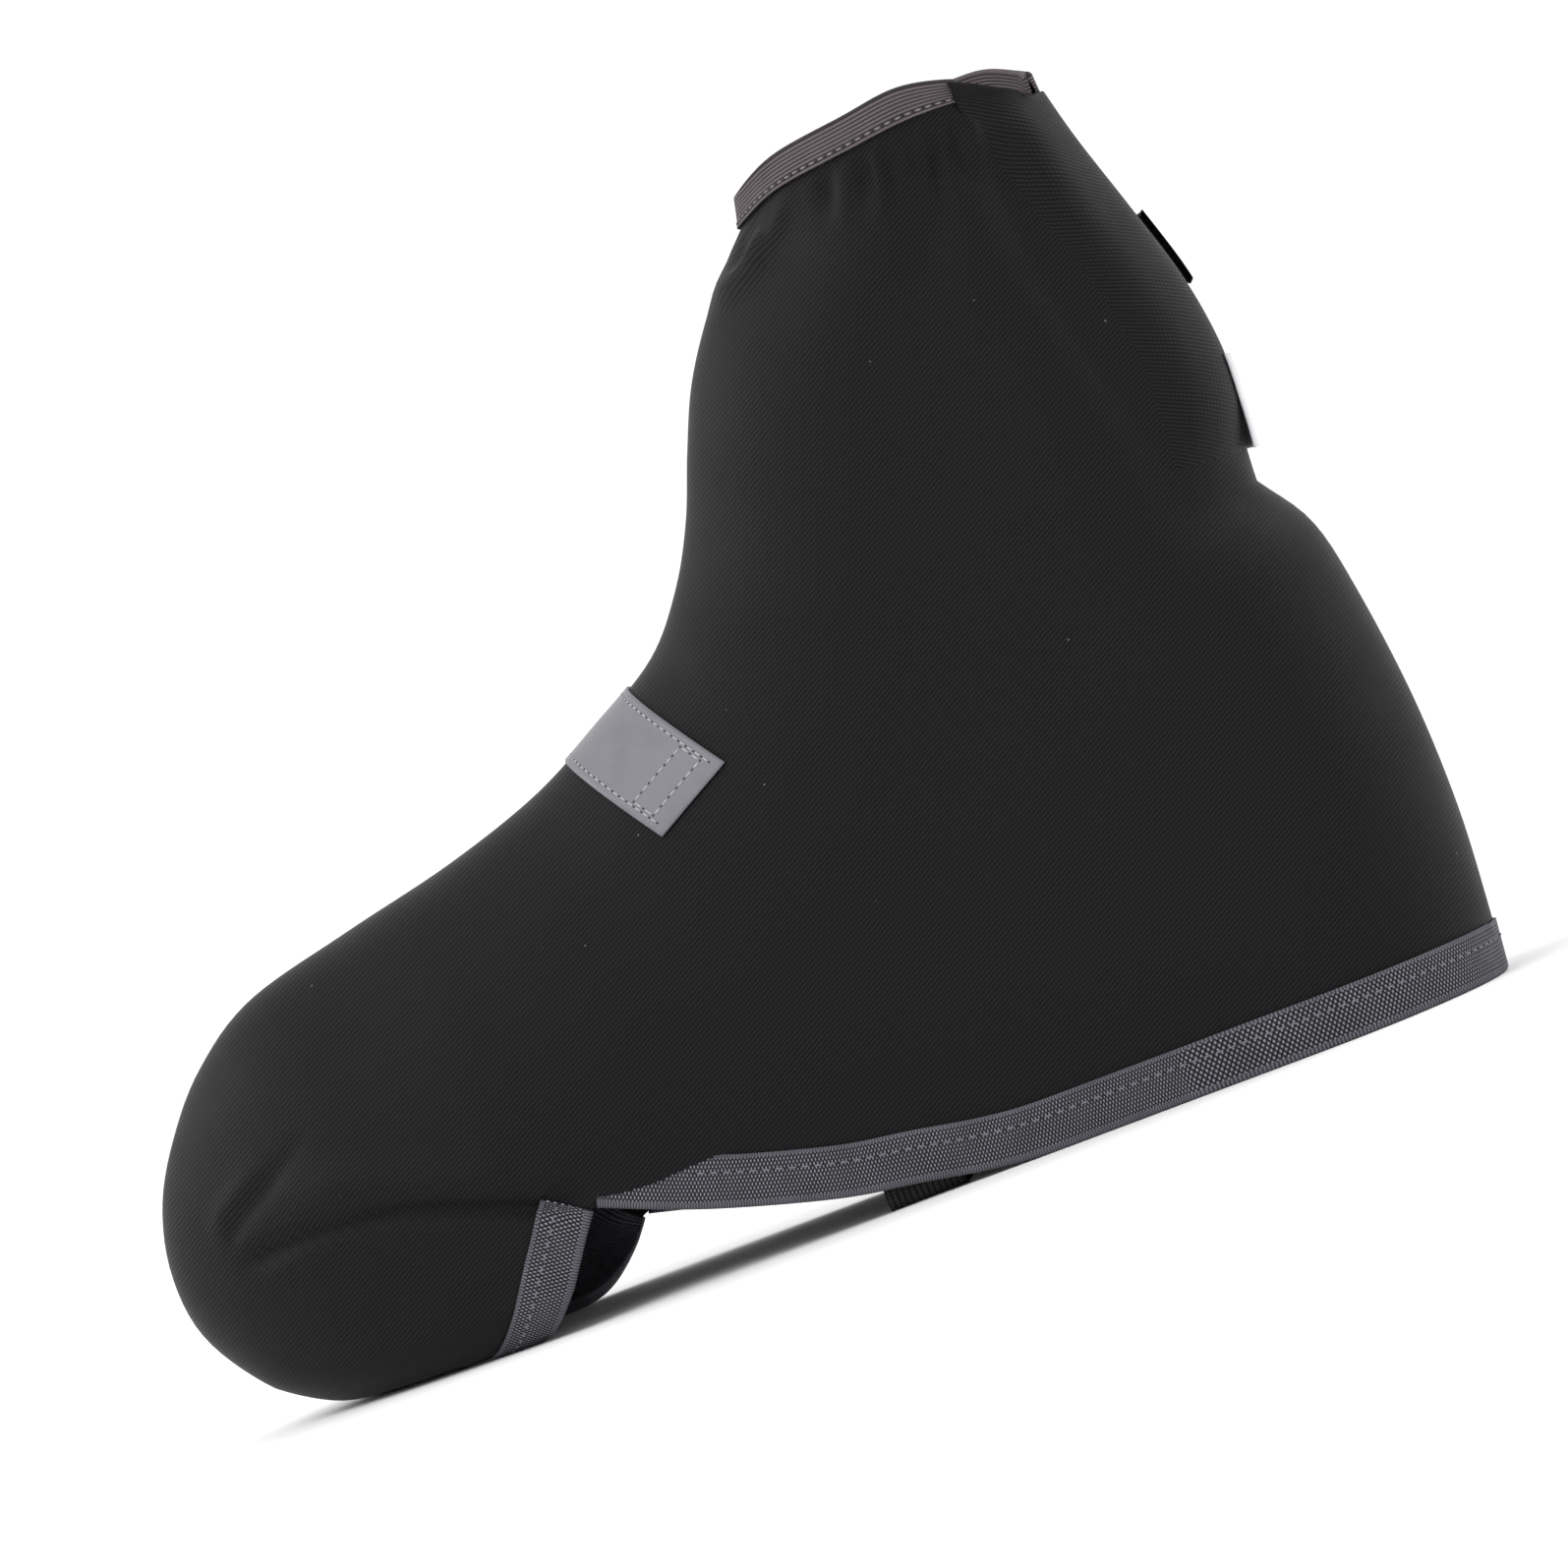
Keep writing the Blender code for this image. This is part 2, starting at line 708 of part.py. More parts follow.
def make_instep_strip(skin):
    """Reflective strip across the instep, sewn down on both sides."""
    stations = tuple(skin.index[row] for row in INSTEP_STRIP_ROWS)
    faces = both_sides(skin, stations, (0, len(FRONT_ROWS) - 1))
    reflective = principled("instep_reflective", (0.26, 0.26, 0.29), 0.45)
    top = CLEARANCE + STRIP_THICKNESS
    return plate("instep_strip", skin, faces, top, CLEARANCE, reflective)


def closure_base():
    """Offset of the back flap's inner face: clear of the collar elastic that it covers."""
    return CLEARANCE + TAPE + CLEARANCE


def make_closure_flap(skin):
    """The near panel's rear end, wrapped round the back over the far side."""
    stations = (0, skin.index[FLAP_END_ROW])
    last = skin.main_rows - 1
    far_row = skin.main_rows - len(REAR_ROWS)
    faces = skin.faces(NEAR, stations, (far_row + 1, last))
    faces += skin.faces(FAR, stations, (far_row, last))
    fabric = principled("flap_fabric", (0.011, 0.0105, 0.0115), 0.72)
    inner = closure_base()
    return plate("closure_flap", skin, faces, inner + FLAP_THICKNESS, inner, fabric)


def back_patch(name, skin, rows, thickness, material):
    """A patch on the flap's outer face, from the back seam over the far side."""
    stations = tuple(skin.index[row] for row in rows)
    faces = skin.faces(FAR, stations, (skin.main_rows - len(REAR_ROWS), skin.main_rows - 1))
    inner = closure_base() + FLAP_THICKNESS + CLEARANCE
    return plate(name, skin, faces, inner + thickness, inner, material)


def make_closure_tab(skin):
    """Hook and loop tab that holds the flap shut."""
    hook = principled("closure_hook", (0.02, 0.02, 0.022), 0.9)
    return back_patch("closure_tab", skin, TAB_ROWS, TAB_THICKNESS, hook)


def make_rear_strip(skin):
    """Reflective strip on the back of the flap."""
    reflective = principled("rear_reflective", (0.62, 0.62, 0.64), 0.4)
    return back_patch("rear_reflective_strip", skin, REAR_STRIP_ROWS, STRIP_THICKNESS, reflective)


def strap_path(x):
    """Outer face of the strap in a cut across the foot: down inside the hem and in along the floor."""
    inset = WALL + 2 * CLEARANCE + TAPE + CLEARANCE
    top = EDGE_LIFT + STRAP_RISE
    heights = np.linspace(top, STRAP_BEND, 4)
    path = [(half_width(x, z) - inset, z) for z in heights]
    centre = path[-1][0] - STRAP_BEND
    for angle in (30, 60, 90):
        turn = math.radians(angle)
        y = centre + STRAP_BEND * math.cos(turn)
        path.append((y, STRAP_BEND - STRAP_BEND * math.sin(turn)))
    path.append((centre * 0.5, 0.0))
    path.append((0.0, 0.0))
    return path


def make_strap():
    """Elastic strap under the foot, sewn inside the hem on both sides and laid on the floor."""
    mesh = bmesh.new()
    middle = place_along(STRAP_PLACE)
    columns = []
    for x in np.linspace(middle - STRAP_WIDTH / 2, middle + STRAP_WIDTH / 2, 3):
        half = strap_path(x)
        whole = [(-y, z) for y, z in half] + [(y, z) for y, z in half[-2::-1]]
        columns.append([mesh.verts.new((x, y, z)) for y, z in whole])
    for left, right in zip(columns, columns[1:]):
        for k in range(len(left) - 1):
            mesh.faces.new((left[k], left[k + 1], right[k + 1], right[k]))
    bmesh.ops.recalc_face_normals(mesh, faces=mesh.faces)
    mesh.normal_update()
    centre = max(mesh.faces, key=lambda f: -abs(f.calc_center_median().y))
    if centre.normal.z > 0:
        bmesh.ops.reverse_faces(mesh, faces=mesh.faces)
    elastic = principled("strap_elastic", (0.014, 0.015, 0.014), 0.85)
    strap = finished("underfoot_strap", mesh, elastic)
    thick = strap.modifiers.new("thickness", "SOLIDIFY")
    thick.thickness = STRAP_THICKNESS
    thick.offset = -1.0
    return strap


def main():
    """Clears the scene and makes every piece of the cover."""
    for thing in list(bpy.data.objects):
        bpy.data.objects.remove(thing)
    skin = Skin()
    make_upper(skin)
    tape = principled("binding_tape", (0.075, 0.075, 0.085), 0.8)
    make_hem_binding(skin, tape)
    make_toe_binding(skin, tape)
    make_collar_binding(skin)
    make_instep_strip(skin)
    make_closure_flap(skin)
    make_closure_tab(skin)
    make_rear_strip(skin)
    make_strap()
    skin.mesh.free()


main()
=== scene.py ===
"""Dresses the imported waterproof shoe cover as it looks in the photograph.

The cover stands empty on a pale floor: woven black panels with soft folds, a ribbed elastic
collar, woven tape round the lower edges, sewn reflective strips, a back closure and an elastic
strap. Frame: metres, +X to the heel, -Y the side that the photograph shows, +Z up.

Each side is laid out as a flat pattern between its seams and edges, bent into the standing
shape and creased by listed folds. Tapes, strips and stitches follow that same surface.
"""

import logging
import math
from dataclasses import dataclass
from enum import Enum
from typing import Callable, NamedTuple

import bmesh
import bpy
import numpy as np
from mathutils import Matrix, Quaternion, Vector


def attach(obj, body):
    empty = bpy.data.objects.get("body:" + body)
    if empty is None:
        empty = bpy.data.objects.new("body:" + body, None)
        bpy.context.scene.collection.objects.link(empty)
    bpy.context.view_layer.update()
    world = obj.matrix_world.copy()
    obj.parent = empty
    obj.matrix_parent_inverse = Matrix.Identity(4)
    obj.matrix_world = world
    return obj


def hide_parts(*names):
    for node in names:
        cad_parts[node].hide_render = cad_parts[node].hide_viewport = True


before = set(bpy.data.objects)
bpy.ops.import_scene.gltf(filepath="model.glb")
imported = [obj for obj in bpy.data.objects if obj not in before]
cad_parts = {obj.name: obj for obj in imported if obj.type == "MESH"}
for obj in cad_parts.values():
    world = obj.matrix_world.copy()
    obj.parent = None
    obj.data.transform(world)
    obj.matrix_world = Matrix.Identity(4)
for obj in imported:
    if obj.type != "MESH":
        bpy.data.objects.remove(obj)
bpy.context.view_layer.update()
log = logging.getLogger("shoe_cover")

MM = 0.001

# Overall sizes
LENGTH = 0.3439
COLLAR_HEIGHT = 0.2577
INSTEP_HEIGHT = 0.1484
TOE_HEIGHT = 0.0472
HEM_CORNER_HEIGHT = 0.0277
POCKET_DEPTH = 0.0353
BALL_WIDTH = 0.100
WAIST_WIDTH = 0.084
HEEL_WIDTH = 0.088
SHAFT_WIDTH = 0.080
COLLAR_WIDTH = 0.072
TOE_ROUND = 0.080
COLLAR_ROUND = 0.050
HEEL_ROUND = 0.046
FOLD_RADIUS = 0.010

# Materials and clearance
WALL = 0.0012
TAPE = 0.0006
CLEARANCE = 0.0003
EDGE_LIFT = TAPE + CLEARANCE
BINDING_WIDTH = 0.0123
ELASTIC_WIDTH = 0.0085
CORNER_GAP = 0.0030

# How far the collar's arch and the far side's droop reach: share of the back seam, and metres
ARCH_REACH = 0.16
DROOP = 0.42
DROOP_HEIGHT = 0.060
DROOP_LENGTH = 0.055

BANDS = {
    "shaft": (INSTEP_HEIGHT, COLLAR_HEIGHT),
    "instep": (TOE_HEIGHT, INSTEP_HEIGHT),
    "toe": (0.0, TOE_HEIGHT),
    "pocket": (0.0, -POCKET_DEPTH),
    "heel": (0.0, INSTEP_HEIGHT),
}


class SeamRow(NamedTuple):
    """A seam's place: share of LENGTH from the heel, and share of a height band."""

    band: str
    along: float
    up: float


FRONT_SEAM = (
    SeamRow("shaft", 0.330, 0.908),
    SeamRow("shaft", 0.336, 0.839),
    SeamRow("shaft", 0.347, 0.807),
    SeamRow("shaft", 0.380, 0.688),
    SeamRow("shaft", 0.409, 0.554),
    SeamRow("shaft", 0.430, 0.411),
    SeamRow("shaft", 0.449, 0.265),
    SeamRow("shaft", 0.474, 0.127),
    SeamRow("instep", 0.509, 1.000),
    SeamRow("instep", 0.564, 0.890),
    SeamRow("instep", 0.624, 0.787),
    SeamRow("instep", 0.701, 0.704),
    SeamRow("instep", 0.790, 0.637),
    SeamRow("instep", 0.874, 0.565),
    SeamRow("instep", 0.926, 0.451),
    SeamRow("instep", 0.962, 0.315),
    SeamRow("instep", 0.988, 0.167),
    SeamRow("toe", 1.000, 1.000),
    SeamRow("toe", 0.995, 0.636),
    SeamRow("toe", 0.967, 0.297),
    SeamRow("toe", 0.925, 0.000),
    SeamRow("pocket", 0.871, 0.482),
    SeamRow("pocket", 0.804, 1.000),
)
BACK_SEAM_UPPER = (
    SeamRow("shaft", 0.1010, 0.879),
    SeamRow("shaft", 0.0910, 0.752),
    SeamRow("shaft", 0.0720, 0.560),
    SeamRow("shaft", 0.0545, 0.370),
    SeamRow("shaft", 0.0465, 0.191),
    SeamRow("shaft", 0.0490, 0.027),
    SeamRow("heel", 0.0520, 0.915),
)
BACK_SEAM_LOWER = (
    SeamRow("heel", 0.0520, 0.915),
    SeamRow("heel", 0.0250, 0.818),
    SeamRow("heel", 0.0122, 0.683),
    SeamRow("heel", 0.0023, 0.487),
    SeamRow("heel", 0.0000, 0.298),
    SeamRow("heel", 0.0041, 0.135),
    SeamRow("heel", 0.0099, 0.000),
)


class HemRow(NamedTuple):
    """The lower edge: share of LENGTH from the heel, and share of HEM_CORNER_HEIGHT."""

    along: float
    lift: float


HEM = (
    HemRow(0.0099, 0.00),
    HemRow(0.1300, 0.00),
    HemRow(0.2400, 0.00),
    HemRow(0.3500, 0.00),
    HemRow(0.4000, 0.05),
    HemRow(0.4500, 0.16),
    HemRow(0.5100, 0.29),
    HemRow(0.6000, 0.62),
    HemRow(0.6760, 1.00),
)


class CollarRow(NamedTuple):
    """The collar's edge: share across it, arch over the chord and rise over the fabric."""

    across: float
    arch: float
    rise: float


COLLAR = (
    CollarRow(0.00, 0.00, 0.106),
    CollarRow(0.17, 0.64, 0.106),
    CollarRow(0.42, 1.00, 0.106),
    CollarRow(0.61, 1.27, 0.106),
    CollarRow(0.77, 1.04, 0.400),
    CollarRow(0.88, 0.61, 0.720),
    CollarRow(1.00, 0.00, 0.800),
)


class FootRow(NamedTuple):
    """Half width at a share of LENGTH: share of half the named width."""

    along: float
    width: float
    half: float


FOOT = (
    FootRow(0.00, HEEL_WIDTH, 1.00),
    FootRow(0.16, HEEL_WIDTH, 1.00),
    FootRow(0.42, WAIST_WIDTH, 1.00),
    FootRow(0.58, WAIST_WIDTH, 1.07),
    FootRow(0.73, BALL_WIDTH, 1.00),
    FootRow(0.88, BALL_WIDTH, 0.96),
    FootRow(1.00, BALL_WIDTH, 0.90),
)
SHAFT_FROM = 0.35
SHAFT_TO = 1.10


class Station(NamedTuple):
    """A line across the pattern: rear line, shares of the front and rear lines, fine steps."""

    line: str
    front: float
    rear: float
    steps: int


STATIONS = (
    Station("back", 0.110, 0.155, 14),
    Station("back", 0.149, 0.238, 8),
    Station("back", 0.189, 0.317, 8),
    Station("back", 0.235, 0.413, 10),
    Station("back", 0.245, 0.446, 3),
    Station("back", 0.265, 0.905, 32),
    Station("hem", 0.291, 0.348, 24),
    Station("hem", 0.346, 0.478, 10),
    Station("hem", 0.498, 1.000, 36),
    Station("pocket", 0.972, 1.000, 64),
)
BAND_STATIONS = 5
RIB_ROWS = 100
EDGE_ROWS = 5
CURVE_STEPS = 8


class Side(Enum):
    """The two sides of the cover; the photograph shows the near one."""

    NEAR = -1
    FAR = 1


def place_along(along: float) -> float:
    """X of a share of the length.

    Args:
        along: share of LENGTH, counted from the heel.

    Returns:
        The place in metres.
    """
    return LENGTH * (0.5 - along)


def seam_points(rows: tuple[SeamRow, ...]) -> list[tuple[float, float]]:
    """Seam rows as points of the flat pattern.

    Args:
        rows: rows of a seam table.

    Returns:
        One (x, z) for each row.
    """
    points = []
    for row in rows:
        low, high = BANDS[row.band]
        points.append((place_along(row.along), low + row.up * (high - low)))
    return points


def smooth_curve(points: list[tuple[float, float]]) -> np.ndarray:
    """A Catmull-Rom curve through the points.

    Args:
        points: places that the curve passes.

    Returns:
        A fine polyline, one row a point.
    """
    knots = np.array(points)
    padded = np.vstack([2 * knots[0] - knots[1], knots, 2 * knots[-1] - knots[-2]])
    t = (np.arange(CURVE_STEPS) / CURVE_STEPS)[:, None]
    pieces = []
    for a, b, c, d in zip(padded, padded[1:], padded[2:], padded[3:]):
        bend = (2 * a - 5 * b + 4 * c - d) * t**2 + (3 * b - a - 3 * c + d) * t**3
        pieces.append(0.5 * (2 * b + (c - a) * t + bend))
    return np.vstack([*pieces, knots[-1:]])


def eased(value: np.ndarray, low: float, high: float) -> np.ndarray:
    """Smooth step from 0 at low to 1 at high.

    Args:
        value: where to read the step.
        low: where it starts.
        high: where it ends.

    Returns:
        The step's height at each value.
    """
    t = np.clip((value - low) / (high - low), 0.0, 1.0)
    return t * t * (3 - 2 * t)


@dataclass
class Line:
    """A line of the flat pattern that is read by share of its length."""

    points: np.ndarray

    def __post_init__(self) -> None:
        steps = np.hypot(*np.diff(self.points, axis=0).T)
        self.reach = np.concatenate([[0.0], np.cumsum(steps)])
        self.length = float(self.reach[-1])

    def at(self, share: float | np.ndarray) -> np.ndarray:
        """Points at shares of the length.

        Args:
            share: one share or an array of them.

        Returns:
            The points, with x and z last.
        """
        s = np.clip(share, 0.0, 1.0) * self.length
        return np.stack([np.interp(s, self.reach, self.points[:, k]) for k in (0, 1)], -1)

    def inward(self, share: float, towards: np.ndarray) -> np.ndarray:
        """Unit normal of the line on the side of a point.

        Args:
            share: where along the line.
            towards: a point on the wanted side.

        Returns:
            The normal as (x, z).
        """
        step = 0.01
        ahead = self.at(share + step) - self.at(share - step)
        normal = np.array([-ahead[1], ahead[0]]) / np.hypot(*ahead)
        return normal if normal @ (towards - self.at(share)) > 0 else -normal

    def distance(self, points: np.ndarray) -> np.ndarray:
        """Distance of each point from the line.

        Args:
            points: places in the pattern, one row each.

        Returns:
            One distance a point.
        """
        nearest = np.full(len(points), np.inf)
        for a, b in zip(self.points, self.points[1:]):
            way = b - a
            t = np.clip(((points - a) @ way) / (way @ way), 0.0, 1.0)
            gap = points - (a + t[:, None] * way)
            nearest = np.minimum(nearest, np.hypot(gap[:, 0], gap[:, 1]))
        return nearest


class Pattern:
    """The flat pattern of one side and the way it bends into the standing shape."""

    def __init__(self) -> None:
        self.front = Line(smooth_curve(seam_points(FRONT_SEAM)))
        upper = smooth_curve(seam_points(BACK_SEAM_UPPER))
        lower = smooth_curve(seam_points(BACK_SEAM_LOWER))
        lower[-1][1] = EDGE_LIFT
        self.back = Line(np.vstack([upper, lower[1:]]))
        hem = smooth_curve(
            [(place_along(row.along), EDGE_LIFT + row.lift * HEM_CORNER_HEIGHT) for row in HEM]
        )
        hem[:, 1] = np.maximum(hem[:, 1], EDGE_LIFT)
        self.hem = Line(hem)
        self.pocket = Line(np.array([hem[-1], self.front.points[-1]]))
        self.knee = hem[-1][0]

    def half_width(self, points: np.ndarray) -> np.ndarray:
        """Half width of the standing cover.

        Args:
            points: places in the pattern, one row each.

        Returns:
            Half widths in metres.
        """
        x, z = points[:, 0], points[:, 1]
        along = 0.5 - x / LENGTH
        foot = np.interp(along, [r.along for r in FOOT], [r.half * r.width / 2 for r in FOOT])
        up = (z - INSTEP_HEIGHT) / (COLLAR_HEIGHT - INSTEP_HEIGHT)
        shaft = np.interp(up, (0.0, 1.0), (SHAFT_WIDTH / 2, COLLAR_WIDTH / 2))
        high = eased(z, SHAFT_FROM * INSTEP_HEIGHT, SHAFT_TO * INSTEP_HEIGHT)
        reach = TOE_ROUND + (COLLAR_ROUND - TOE_ROUND) * high
        width = foot + (shaft - foot) * high
        for line, limit in ((self.front, reach), (self.back, HEEL_ROUND)):
            t = np.minimum(line.distance(points) / limit, 1.0)
            width = width * np.sqrt(1.0 - (1.0 - t) ** 2)
        return width

    def droop(self, x: np.ndarray, z: np.ndarray) -> np.ndarray:
        """How far the far side hangs below the near one where its hem is off the floor.

        Args:
            x: places along the pattern.
            z: their heights.

        Returns:
            Metres to hang down.
        """
        lift = np.interp(-x, -self.hem.points[:, 0], self.hem.points[:, 1]) - EDGE_LIFT
        beside = 1 - eased(self.knee - x, 0.0, DROOP_LENGTH)
        above = np.clip((z - lift) / DROOP_HEIGHT, 0.0, 1.0)
        return DROOP * lift * beside * (1 - above * above * (3 - 2 * above))

    def standing(self, points: np.ndarray, side: Side) -> np.ndarray:
        """Bends pattern points into the standing shape, where the toe pocket folds under.

        Args:
            points: places in the pattern, one row each.
            side: which side of the cover.

        Returns:
            Places in the frame, one row each.
        """
        x, z = points[:, 0], points[:, 1].copy()
        y = self.half_width(points)
        if side is Side.FAR:
            z = z - self.droop(x, z)
        top = EDGE_LIFT + FOLD_RADIUS
        under = (x < self.knee) & (z < top)
        turn = np.where(under, np.minimum((top - z) / (2 * FOLD_RADIUS), 1.0) * math.pi / 2, 0.0)
        y = y * (1 - 2 * FOLD_RADIUS / BALL_WIDTH * (1 - np.cos(turn)))
        z = np.where(under, EDGE_LIFT + FOLD_RADIUS * (1 - np.sin(turn)), z)
        return np.column_stack([x, side.value * y, z])


def collar_value(across: np.ndarray, name: str) -> np.ndarray:
    """A column of the collar table in metres.

    Args:
        across: shares of the collar from its front to its back.
        name: the column.

    Returns:
        The column's values there.
    """
    curve = smooth_curve([(row.across, getattr(row, name)) for row in COLLAR])
    return ELASTIC_WIDTH * np.interp(across, curve[:, 0], curve[:, 1])


@dataclass(frozen=True)
class Fold:
    """A soft ridge, or a trough where height is negative, along a path of the pattern.

    path holds (share of LENGTH from the heel, share of COLLAR_HEIGHT); width and height are in
    millimetres; head and tail are the shares of the path over which it fades in and out.
    """

    path: tuple[tuple[float, float], ...]
    width: float
    height: float
    head: float = 0.25
    tail: float = 0.45

    def relief(self, points: np.ndarray) -> np.ndarray:
        """Height of the fold over the plain surface.

        Args:
            points: places in the pattern, one row each.

        Returns:
            Heights in metres.
        """
        knots = [(place_along(along), COLLAR_HEIGHT * up) for along, up in self.path]
        line = Line(smooth_curve(knots))
        nearest = np.full(len(points), np.inf)
        share = np.zeros(len(points))
        for k, (a, b) in enumerate(zip(line.points, line.points[1:])):
            way = b - a
            t = np.clip(((points - a) @ way) / (way @ way), 0.0, 1.0)
            gap = points - (a + t[:, None] * way)
            gap = np.hypot(gap[:, 0], gap[:, 1])
            closer = gap < nearest
            nearest = np.where(closer, gap, nearest)
            along = (line.reach[k] + t * (line.reach[k + 1] - line.reach[k])) / line.length
            share = np.where(closer, along, share)
        fade = eased(share, 0.0, self.head) if self.head else np.ones(len(points))
        fade = fade * (1 - eased(share, 1 - self.tail, 1.0))
        return self.height * MM * fade * np.exp(-((nearest / (self.width * MM)) ** 2))


COLLAR_FOLDS = (
    Fold(((0.286, 0.972), (0.312, 0.920), (0.344, 0.890), (0.385, 0.866)), 3.2, 3.2, 0.12, 0.30),
    Fold(((0.314, 0.962), (0.339, 0.918), (0.363, 0.878)), 3.6, -3.6, 0.08, 0.40),
    Fold(((0.294, 0.970), (0.306, 0.938), (0.322, 0.900)), 2.2, -2.6, 0.06, 0.50),
    Fold(((0.330, 0.950), (0.352, 0.905), (0.380, 0.868)), 2.4, 1.6, 0.10, 0.40),
    Fold(((0.257, 0.972), (0.263, 0.931), (0.268, 0.896)), 2.3, -3.0, 0.03, 0.65),
    Fold(((0.243, 0.975), (0.249, 0.930), (0.262, 0.880)), 2.6, 1.7, 0.03, 0.65),
    Fold(((0.230, 0.976), (0.231, 0.930), (0.236, 0.892)), 2.2, -2.9, 0.03, 0.65),
    Fold(((0.221, 0.976), (0.223, 0.931), (0.239, 0.867)), 2.2, 1.7, 0.03, 0.65),
    Fold(((0.211, 0.976), (0.213, 0.931), (0.221, 0.887)), 2.2, -2.6, 0.03, 0.65),
    Fold(((0.193, 0.978), (0.197, 0.933), (0.203, 0.900)), 2.2, -2.3, 0.03, 0.60),
    Fold(((0.203, 0.978), (0.205, 0.933), (0.212, 0.890)), 2.2, 1.3, 0.03, 0.60),
    Fold(((0.176, 0.982), (0.178, 0.928), (0.190, 0.880)), 2.5, -3.4, 0.03, 0.55),
    Fold(((0.180, 0.935), (0.205, 0.858), (0.248, 0.769)), 7.0, -2.2, 0.15, 0.60),
    Fold(((0.157, 0.985), (0.161, 0.930), (0.165, 0.870)), 2.4, -3.0, 0.03, 0.55),
    Fold(((0.145, 0.990), (0.152, 0.935), (0.158, 0.892)), 2.3, 2.2, 0.03, 0.55),
    Fold(((0.235, 0.930), (0.292, 0.830), (0.353, 0.720)), 12.0, 1.4, 0.25, 0.60),
)
BACK_FOLDS = (
    Fold(((0.140, 0.940), (0.138, 0.837), (0.125, 0.717), (0.107, 0.595), (0.115, 0.470)), 6.5, -2.6, 0.10, 0.40),
    Fold(((0.120, 0.950), (0.113, 0.854), (0.093, 0.721)), 6.0, 1.1, 0.20, 0.50),
    Fold(((0.052, 0.529), (0.095, 0.520), (0.150, 0.540)), 9.0, -1.0, 0.00, 0.75),
    Fold(((0.052, 0.580), (0.085, 0.590), (0.130, 0.640)), 9.0, 0.8, 0.00, 0.70),
)
TOE_FOLDS = (
    Fold(((0.945, 0.172), (0.915, 0.175), (0.878, 0.177), (0.811, 0.168), (0.750, 0.143), (0.680, 0.108)), 2.2, -2.9, 0.12, 0.06),
    Fold(((0.900, 0.218), (0.831, 0.208), (0.765, 0.178), (0.700, 0.143)), 5.5, 1.5, 0.25, 0.30),
    Fold(((0.945, 0.192), (0.920, 0.216), (0.881, 0.246), (0.842, 0.277)), 2.2, -1.3, 0.15, 0.55),
    Fold(((0.952, 0.206), (0.926, 0.232), (0.886, 0.262)), 2.6, 0.8, 0.20, 0.50),
    Fold(((0.960, 0.080), (0.880, 0.060), (0.800, 0.085)), 9.0, -0.8, 0.30, 0.40),
)
PANEL_FOLDS = (
    Fold(((0.500, 0.300), (0.420, 0.420), (0.330, 0.600)), 26.0, 0.9, 0.35, 0.50),
    Fold(((0.640, 0.250), (0.560, 0.160), (0.460, 0.110)), 18.0, -0.8, 0.40, 0.50),
    Fold(((0.120, 0.440), (0.140, 0.280), (0.200, 0.120)), 20.0, -1.0, 0.40, 0.45),
    Fold(((0.040, 0.330), (0.070, 0.200), (0.080, 0.080)), 12.0, 0.7, 0.35, 0.50),
)
FAR_FOLDS = (
    Fold(((0.240, 0.965), (0.260, 0.880), (0.320, 0.790)), 8.0, -1.2, 0.15, 0.60),
    Fold(((0.440, 0.560), (0.380, 0.500), (0.300, 0.480)), 10.0, -1.2, 0.25, 0.55),
    Fold(((0.760, 0.320), (0.680, 0.250), (0.600, 0.220)), 12.0, 0.9, 0.30, 0.55),
)


